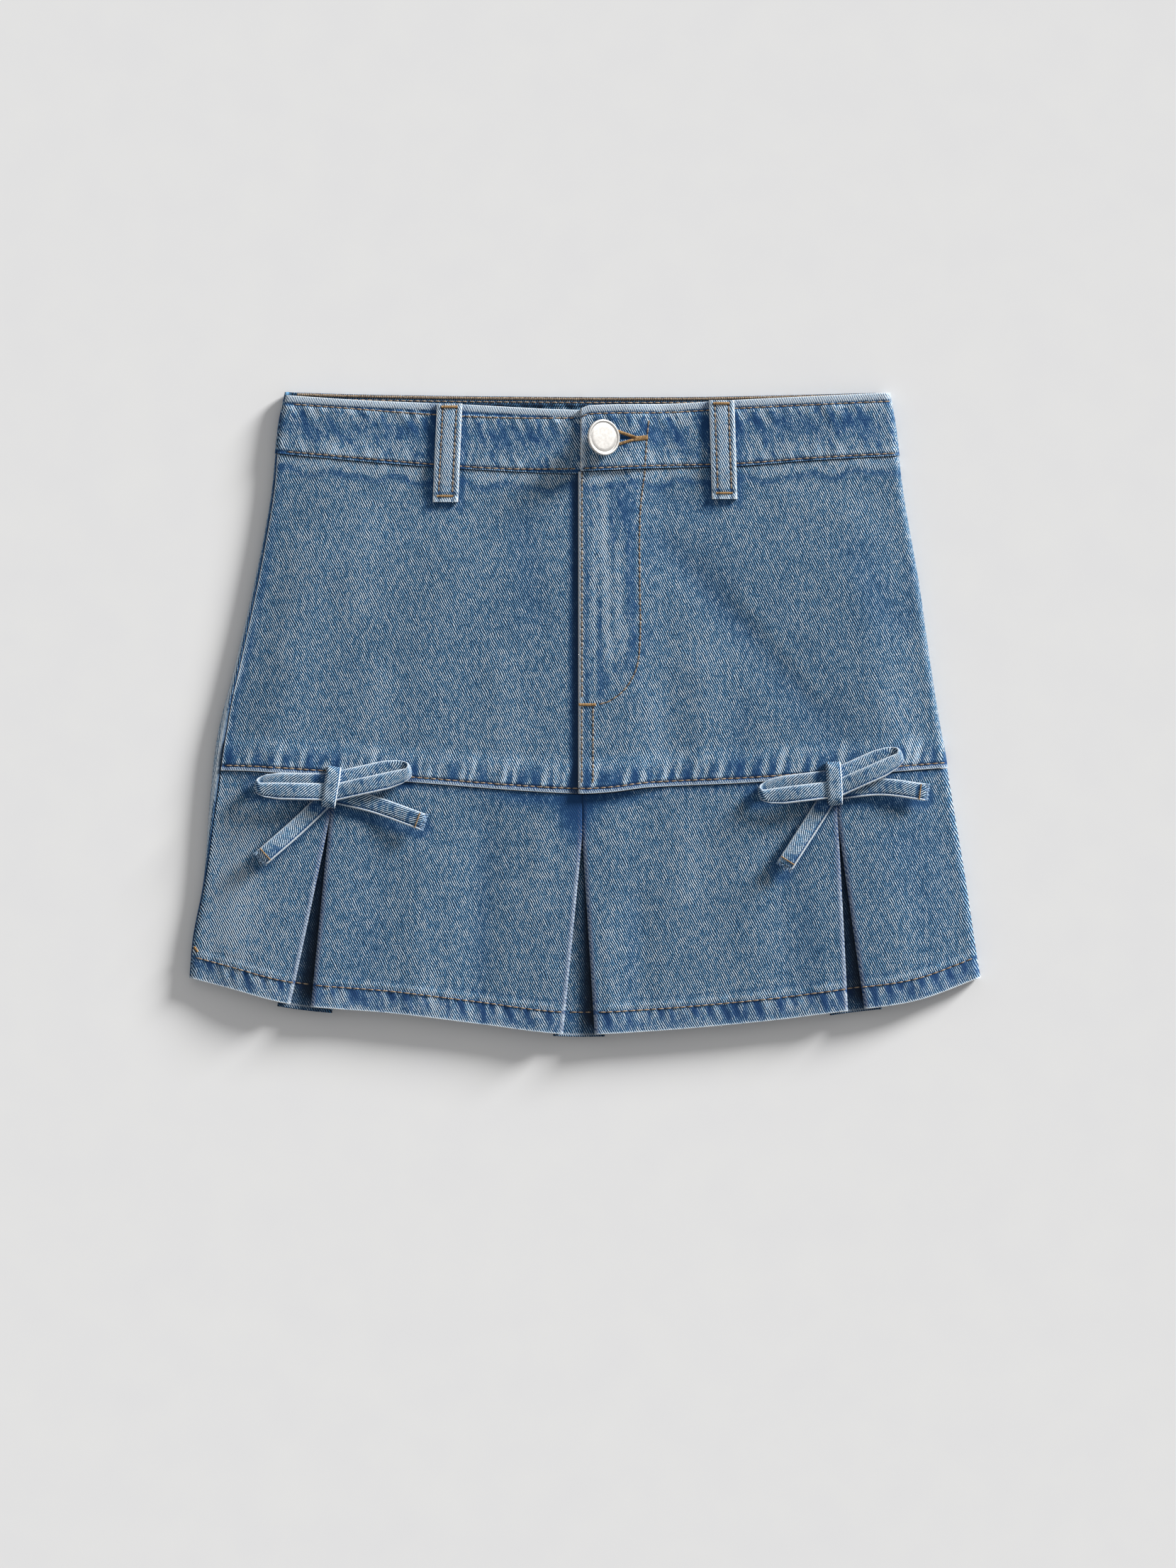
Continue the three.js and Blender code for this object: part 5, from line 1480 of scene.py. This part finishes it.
def knot_piece(name, bow_x, bow_y, lean, width, length):
    """The wrap over a bow's middle, domed, with a corded edge down its right."""
    b = np.linspace(1, -1, 41)[:, None]
    a = np.sin(np.linspace(-1, 1, 33) * np.pi / 2)[None, :]
    dome = np.sqrt(np.maximum(0, (1 - a ** 8) * (1 - b ** 6)))
    local_x = a * width / 2 * (1 - KNOT_TAPER * b * b)
    local_y = b * length / 2 + 0 * a
    turned = math.radians(lean)
    x = bow_x + local_x * math.cos(turned) - local_y * math.sin(turned)
    y = bow_y + local_x * math.sin(turned) + local_y * math.cos(turned)
    floor = bow_ground(x, y)
    cord = 0.35 * near(a - 0.9, 0.09) - 0.3 * near(a - 0.72, 0.08)
    height = floor + KNOT_EDGE + KNOT_CROWN * dome + cord * dome
    outer = np.stack([x, y, height], -1)
    inner = np.stack([x, y, height - DENIM - 0.3], -1)
    rim = near(a - 0.9, 0.12) + 0 * b
    # Painted shade in the groove inside the cord, down the left edge and at both ends; the middle is a
    # deeper blue
    fade = 0.12 - 0.4 * near(a - 0.72, 0.10) - 0.12 * near(a + 1, 0.25) - 0.12 * near(np.abs(b) - 1, 0.2)
    fade = fade - 0.22 * near(np.hypot(a, b * 1.3), 0.5)
    marks = {"fade": fade, "worn": 0.5 * rim, "rim": rim, "rope": 0.6 + 0 * x}
    return cloth_wall(name, outer, inner, (local_y, local_x), marks, bow_denim)


def build_bows():
    made = []
    for side, x, y, lean, width, length, loops, tails in BOWS:
        knot = knot_piece(f"bow_{side}_wrap", x, y, lean, width, length)
        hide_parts(f"bow_{side}_knot")
        made.append(knot)
        for name, angle, reach, spread in loops:
            path, across = loop_path(angle, reach, spread)
            strip = strip_piece(f"bow_{side}_{name}_cloth", x, y, path, across, path[35])
            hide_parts(f"bow_{side}_{name}")
            made.append(strip)
        for tail in tails:
            strip = strip_piece(f"bow_{side}_{tail[0]}_cloth", x, y, tail_path(tail))
            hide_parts(f"bow_{side}_{tail[0]}")
            made.append(strip)
    return made


# Sewing: places are on a piece's outer face, with the way out of it

class Faces:
    """What lies outermost of some pieces, found along a line towards them."""

    def __init__(self, pieces):
        points, faces = [], []
        for piece in pieces:
            start = len(points)
            points += [vertex.co.copy() for vertex in piece.data.vertices]
            faces += [[start + i for i in polygon.vertices] for polygon in piece.data.polygons]
        self.tree = BVHTree.FromPolygons(points, faces)

    def seat(self, place, out, reach=14.0):
        """The point and the normal of the face below a place, looking inwards; None past the cloth."""
        start = Vector((place + out * reach) * METRE)
        point, normal, _, _ = self.tree.ray_cast(start, Vector(-out), 2 * reach * METRE)
        if point is None:
            return None, None
        normal = np.array(normal)
        return np.array(point) / METRE, normal if normal @ out > 0 else -normal


# The height from which places over the front look for the cloth, the spacing at which a line is walked,
# and the highest step that a stitch crosses
SEEK_Z = 8.0
FINE_STEP = 0.05
HIGHEST_STEP = 0.9
UP = np.array([0.0, 0.0, 1.0])
DOWN = np.array([0.0, 0.0, -1.0])


def run_along(line, spacing, end_gap=0.0):
    """Places at a spacing along a list of points, with fields that are carried with them."""
    line = np.asarray(line, float)
    length = length_along(line[:, :3])
    wanted = np.arange(end_gap, length[-1] - end_gap, spacing)
    return np.stack([np.interp(wanted, length, column) for column in line.T], -1)


class Sewing:
    """Threads, and dark discs of painted shade at the needle holes, gathered as one mesh of each."""

    def __init__(self, name):
        self.name = name
        self.threads = []
        self.hole_shades = []
        self.chance = np.random.default_rng(len(name))

    def add_thread(self, centres, outs, width, height):
        """A thin rounded thread along a few points."""
        along = runs(centres)
        along /= np.linalg.norm(along, axis=1, keepdims=True)
        side = np.cross(along, outs)
        side /= np.linalg.norm(side, axis=1, keepdims=True)
        angle = np.arange(6) * np.pi / 3
        taper = np.sqrt(1 - np.linspace(-0.93, 0.93, len(centres)) ** 4)[:, None, None]
        ring = side[:, None] * np.cos(angle)[None, :, None] * width / 2
        ring = ring + outs[:, None] * np.sin(angle)[None, :, None] * height / 2
        self.threads.append(centres[:, None] + ring * taper)

    def line(self, faces, line, out=UP, pitch=3.3, length=2.6, width=0.68, sunk=0.1):
        """Stitches along a line of points, or of points with their ways out, laid on the faces."""
        line = np.asarray(line, float)
        if line.shape[1] == 3:
            line = np.concatenate([line, np.tile(out, (len(line), 1))], 1)
        for start in run_along(line, FINE_STEP)[::int(round(pitch / FINE_STEP))][:-1]:
            self.stitch(faces, line, start, length * self.chance.uniform(0.9, 1.08), width, sunk)

    def stitch(self, faces, line, start, length, width, sunk):
        """One stitch from its start, left out where it would bridge a step in the cloth."""
        near_start = np.linalg.norm(line[:, :3] - start[:3], axis=1)
        i = int(np.argmin(near_start))
        j = min(i + 1, len(line) - 1)
        along = line[j, :3] - line[max(j - 1, 0), :3]
        along = along / (np.linalg.norm(along) + 1e-9)
        out = start[3:]
        shares = np.linspace(0, 1, 5)
        seats = [faces.seat(start[:3] + along * length * share, out) for share in shares]
        if any(point is None for point, _ in seats):
            return
        points = np.array([point for point, _ in seats])
        outs = np.array([normal for _, normal in seats])
        if np.ptp(points @ out) > HIGHEST_STEP:
            return
        arch = 0.24 * np.sin(np.pi * shares) ** 0.6 - sunk
        self.add_thread(points + outs * arch[:, None], outs, width, 0.5)
        # A dark disc of painted shade at the needle hole
        self.hole_shades.append((points[0] - along * 0.26, outs[0], along))

    def satin(self, faces, start, end, width, pitch=0.42, out=UP, raised=0.1):
        """A bar of close threads across the line from start to end."""
        start, end = np.array(start, float), np.array(end, float)
        along = (end - start) / np.linalg.norm(end - start)
        side = np.cross(along, out)
        for middle in run_along([start, end], pitch):
            ends = [middle + side * width * share for share in np.linspace(-0.5, 0.5, 5)]
            seats = [faces.seat(place, out) for place in ends]
            if any(point is None for point, _ in seats):
                continue
            points = np.array([point for point, _ in seats])
            height = raised + 0.3 * (1 - np.linspace(-1, 1, 5) ** 4)
            self.add_thread(points + out * height[:, None], np.tile(out, (5, 1)), pitch * 1.25, 0.55)

    def finish(self, material):
        made = []
        if self.threads:
            rings = np.array(self.threads)
            count, stations, sides, _ = rings.shape
            index = np.arange(count * stations * sides).reshape(count, stations, sides)
            turned = np.roll(index, -1, 2)
            quads = np.stack([index[:, :-1], turned[:, :-1], turned[:, 1:], index[:, 1:]], -1)
            faces = quads.reshape(-1, 4).tolist()
            faces += np.concatenate([index[:, 0, ::-1], index[:, -1]]).tolist()
            made.append(make_mesh(self.name, rings.reshape(-1, 3), faces, materials=[material]))
        if self.hole_shades:
            angle = np.arange(8) * np.pi / 4
            points, faces = [], []
            for centre, out, along in self.hole_shades:
                side = np.cross(out, along)
                start = len(points)
                for length, width, rise in ((0.50, 0.50, -0.25), (0.45, 0.42, 0.06)):
                    points += [
                        centre + along * math.cos(a) * length + side * math.sin(a) * width + out * rise
                        for a in angle
                    ]
                faces.append(list(range(start + 7, start - 1, -1)))
                faces.append(list(range(start + 8, start + 16)))
                for i in range(8):
                    turned = (i + 1) % 8
                    faces.append([start + i, start + turned, start + 8 + turned, start + 8 + i])
            made.append(make_mesh(f"{self.name}_holes", points, faces, materials=[hole_shade]))
        return made


def tube_line(rows_table, offset, start, end, back=False, spacing=1.0):
    """A line that runs round the tube at an offset below a guide: points with their ways out."""
    guide = Guide(rows_table, offset)
    rows = Rows(guide, Guide(rows_table, offset + 1), [0.0])
    count = max(2, int((end - start) * 300 / spacing))
    point, out, _ = tube_point(rows, np.linspace(start, end, count)[None, :], 0.0, back)
    return np.concatenate([point[0], out[0]], 1)


def back_line(rows_table, offset):
    return tube_line(rows_table, offset, *BACK_ENDS, back=True)


def front_line(points):
    """A line over the front through x, y points."""
    points = np.asarray(points, float)
    return np.concatenate([points, np.full((len(points), 1), SEEK_Z)], 1)


# The fly's stitched curve, the line that it meets on the band, its straight lines and its bar: x, y
FLY_CURVE = [
    (28.0, 113.6), (25.7, 93.5), (25.5, 62.1), (25.7, 36.7), (24.2, 22.2), (19.4, 12.6), (12.1, 6.4),
    (4.9, 4.1),
]
FLY_ON_BAND = [(27.9, 114.9), (28.8, 128), (30.1, 139.6)]
FLY_EDGE_STITCH_X = -1.4
FLY_TWIN_X = (-1.5, 3.7)
FLY_TACK = [(-2.7, 4.3), (5.1, 4.3)]

# The buttonhole's two lips and the bar at its end: from x, y, to x, y, and width
BUTTONHOLE_BARS = [
    ([(15.0, 131.6), (24.6, 128.2)], 1.5),
    ([(16.0, 125.6), (22.5, 127.6)], 1.4),
    ([(23.2, 128.0), (29.4, 128.7)], 2.3),
]

# Where stitched lines end round the tube, and how deep they lie on the underside
RIGHT_END = 1.93
BACK_ENDS = (-1.96, -0.02)
BACK_SUNK = 0.36


def build_sewing(by_name):
    """Stitched lines, bar tacks and the worked buttonhole."""
    def faces_of(*names):
        return Faces([by_name[name] for name in names])

    band = faces_of("band_left", "band_right")
    panels = faces_of("panel_left", "panel_right")
    front = faces_of("band_left", "band_right", "panel_left", "panel_right", "flounce")
    back = faces_of("band_back", "back_panel_left", "back_panel_right")
    made = []

    around = Sewing("waist_stitches")
    around.line(band, tube_line(RIGHT_TOP, TOP_STITCH, 0.01, RIGHT_END), pitch=3.2)
    around.line(band, tube_line(RIGHT_WAIST_SEAM, -BAND_STITCH, 0.01, RIGHT_END), pitch=3.3)
    around.line(back, back_line(BACK_TOP, TOP_STITCH), pitch=3.2, sunk=BACK_SUNK)
    around.line(back, back_line(BACK_WAIST_SEAM, -BAND_STITCH), pitch=3.3, sunk=BACK_SUNK)
    inside = faces_of("band_back")
    x = np.linspace(-134, 136, 200)
    around.line(inside, front_line(np.stack([x, Guide(BACK_TOP).at(x) - TOP_STITCH + 1.4], -1)), pitch=3.2)
    for start_x in np.arange(-134, 132, 6.0):
        edge = front_line([(x, Guide(BACK_TOP).at(x) - 0.9) for x in (start_x, start_x + 6)])
        around.satin(inside, *edge, 1.5, pitch=0.95, raised=-0.2)
    made += around.finish(thread)

    fly = Sewing("fly_stitches")
    fly.line(panels, front_line([(FLY_EDGE_STITCH_X, 112.6), (FLY_EDGE_STITCH_X, 5.0)]))
    curve = spline_through(FLY_CURVE, 160)
    fly.line(panels, front_line(curve), pitch=3.2)
    fly.line(band, front_line(spline_through(FLY_ON_BAND, 30)), pitch=3.2)
    for twin_x in FLY_TWIN_X:
        fly.line(panels, front_line([(twin_x, 2.5), (twin_x, -34.0)]), pitch=3.2)
    made += fly.finish(thread)

    seams = Sewing("seam_stitches")
    seams.line(panels, tube_line(YOKE_SEAM, -YOKE_STITCH, 0.0, RIGHT_END), pitch=3.3)
    seams.line(faces_of("flounce"), tube_line(HEM, -HEM_STITCH, 0.0, RIGHT_END), pitch=3.4)
    seams.line(back, back_line(BACK_HEM, -HEM_STITCH), pitch=3.4, sunk=BACK_SUNK)
    for side_x in (-CENTRE_STITCH, CENTRE_STITCH):
        centre = [(side_x, y, 0.0) for y in np.linspace(112, -132, 200)]
        seams.line(back, centre, out=DOWN, pitch=3.3, sunk=BACK_SUNK)
    made += seams.finish(thread)

    loops = Sewing("loop_stitches")
    tacks = Sewing("bar_tacks")
    for name, top_x, bottom_x, top_y, bottom_y in BELT_LOOPS:
        cloth = faces_of(f"{name}_cloth")
        for side in (-1, 1):
            off = side * (BELT_LOOP_WIDTH / 2 - BELT_LOOP_STITCH)
            ends = [(top_x + off, top_y - 2.6), (bottom_x + off, bottom_y + 3.4)]
            loops.line(cloth, front_line(ends), pitch=3.0)
        half = BELT_LOOP_WIDTH / 2 - 2.2
        for x, y, width in ((top_x, top_y - 1.5, 1.25), (bottom_x, bottom_y + BELT_LOOP_TACK, 1.0)):
            tacks.satin(cloth, *front_line([(x - half, y), (x + half, y)]), width)
    made += loops.finish(thread)
    tacks.satin(panels, *front_line(FLY_TACK), 1.35)
    for ends, width in BUTTONHOLE_BARS:
        tacks.satin(band, *front_line(ends), width)
    left_x = left_side(-109.8) + 1.6
    tacks.satin(front, *front_line([(left_x, -108.6), (left_x + 1.6, -110.8)]), 1.1)
    for side, bow_x, bow_y, _, _, _, _, tails in BOWS:
        for tail in tails:
            cloth = faces_of(f"bow_{side}_{tail[0]}_cloth")
            end, along = tail_end(tail_path(tail), bow_x, bow_y)
            across = np.array([-along[1], along[0], 0.0])
            place = end - along * 2.6
            tacks.satin(cloth, place - across * 3.3, place + across * 3.3, 0.55, pitch=0.8, raised=0.0)
    made += tacks.finish(gold_thread)
    return made


def tail_end(path, bow_x, bow_y):
    """A tail's end and the way that it runs there."""
    along = path[-1] - path[-4]
    along = np.array([along[0], along[1], 0.0])
    along /= np.linalg.norm(along)
    end = np.array([bow_x + path[-1, 0], bow_y + path[-1, 1], 0.0])
    end[2] = bow_ground(end[0], end[1]) + path[-1, 2]
    return end, along


def build_frays():
    """Loose yarns at the cut ends of the bows' tails."""
    made = []
    chance = np.random.default_rng(7)
    for side, bow_x, bow_y, _, _, _, _, tails in BOWS:
        ends = Sewing(f"bow_{side}_frays")
        for tail in tails:
            end, along = tail_end(tail_path(tail), bow_x, bow_y)
            across = np.array([-along[1], along[0], 0.0])
            for place in np.linspace(-3.8, 3.8, 34):
                start = end + across * place - along * 0.5 + UP * chance.uniform(-0.5, 0.5)
                length = chance.uniform(0.9, 2.4)
                swing = across * chance.uniform(-0.6, 0.6) + UP * chance.uniform(-0.5, 0.3)
                share = np.linspace(0, 1, 5)[:, None]
                yarn = start + along * length * share + swing * share ** 2
                ends.add_thread(yarn, np.tile(UP, (5, 1)), 0.42, 0.36)
        made += ends.finish(fray)
    return made


def spline_through(points, count):
    """Evenly spaced points on a smooth curve through x, y points."""
    points = np.asarray(points, float)
    at = length_along(points)
    wanted = np.linspace(0, at[-1], count)
    return np.stack([curve_through(list(zip(at, column)))(wanted) for column in points.T], -1)


# The white floor and the light: direction towards the lamp, strength, softness in degrees and colour
FLOOR_HALF = 3000
FLOOR_GAP = 0.05
KEY_SUN = ((0.86, 0.70, 0.32), 6.45, 16, (1.0, 0.995, 0.985))
WORLD_STRENGTH = 0.42


def build_stage():
    grid = np.linspace(-FLOOR_HALF, FLOOR_HALF, 5)
    x, y = np.meshgrid(grid, grid)
    points = np.stack([x, y, 0 * x - FLOOR_GAP], -1).reshape(-1, 3)
    index = np.arange(25).reshape(5, 5)
    faces = np.stack([index[:-1, :-1], index[:-1, 1:], index[1:, 1:], index[1:, :-1]], -1).reshape(-1, 4)
    paper = plain_material("paper", srgb(225, 225, 226), srgb(227, 227, 227), 40, roughness=0.95, depth=0.0)
    floor = make_mesh("floor", points, faces, materials=[paper])

    direction, strength, softness, colour = KEY_SUN
    sun = bpy.data.lights.new("key", "SUN")
    sun.energy = strength
    sun.angle = math.radians(softness)
    sun.color = colour
    lamp = link(bpy.data.objects.new("key", sun))
    lamp.rotation_euler = Vector(direction).to_track_quat("Z", "Y").to_euler()

    world = bpy.data.worlds.new("studio")
    world.use_nodes = True
    background = world.node_tree.nodes["Background"]
    background.inputs["Color"].default_value = (1.0, 1.0, 1.0, 1.0)
    background.inputs["Strength"].default_value = WORLD_STRENGTH
    bpy.context.scene.world = world
    bpy.context.scene.view_settings.view_transform = "Standard"
    bpy.context.scene.cycles.denoising_prefilter = "NONE"


# The photograph's frame: the point under the camera, the height that it takes in, and how far off it is
VIEW_CENTRE = (1.4, -32.6)
VIEW_HEIGHT = 730.0
CAMERA_AWAY = 2500.0
SENSOR = 36.0


def build_camera():
    data = bpy.data.cameras.new("camera")
    data.sensor_width = SENSOR
    data.lens = SENSOR * CAMERA_AWAY / VIEW_HEIGHT
    data.clip_start = 0.1
    data.clip_end = 20.0
    camera = link(bpy.data.objects.new("camera", data))
    camera.location = Vector((VIEW_CENTRE[0], VIEW_CENTRE[1], CAMERA_AWAY + 8)) * METRE
    bpy.context.scene.camera = camera


build_camera()
pieces = build_waistband() + build_front() + build_flounce() + build_back() + build_shorts()
pieces += build_belt_loops() + build_bows()
button = build_button()
by_name = {piece.name: piece for piece in pieces}
sewing = build_sewing(by_name) + build_frays()
for piece in pieces + [button] + sewing:
    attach(piece, "root")
build_stage()
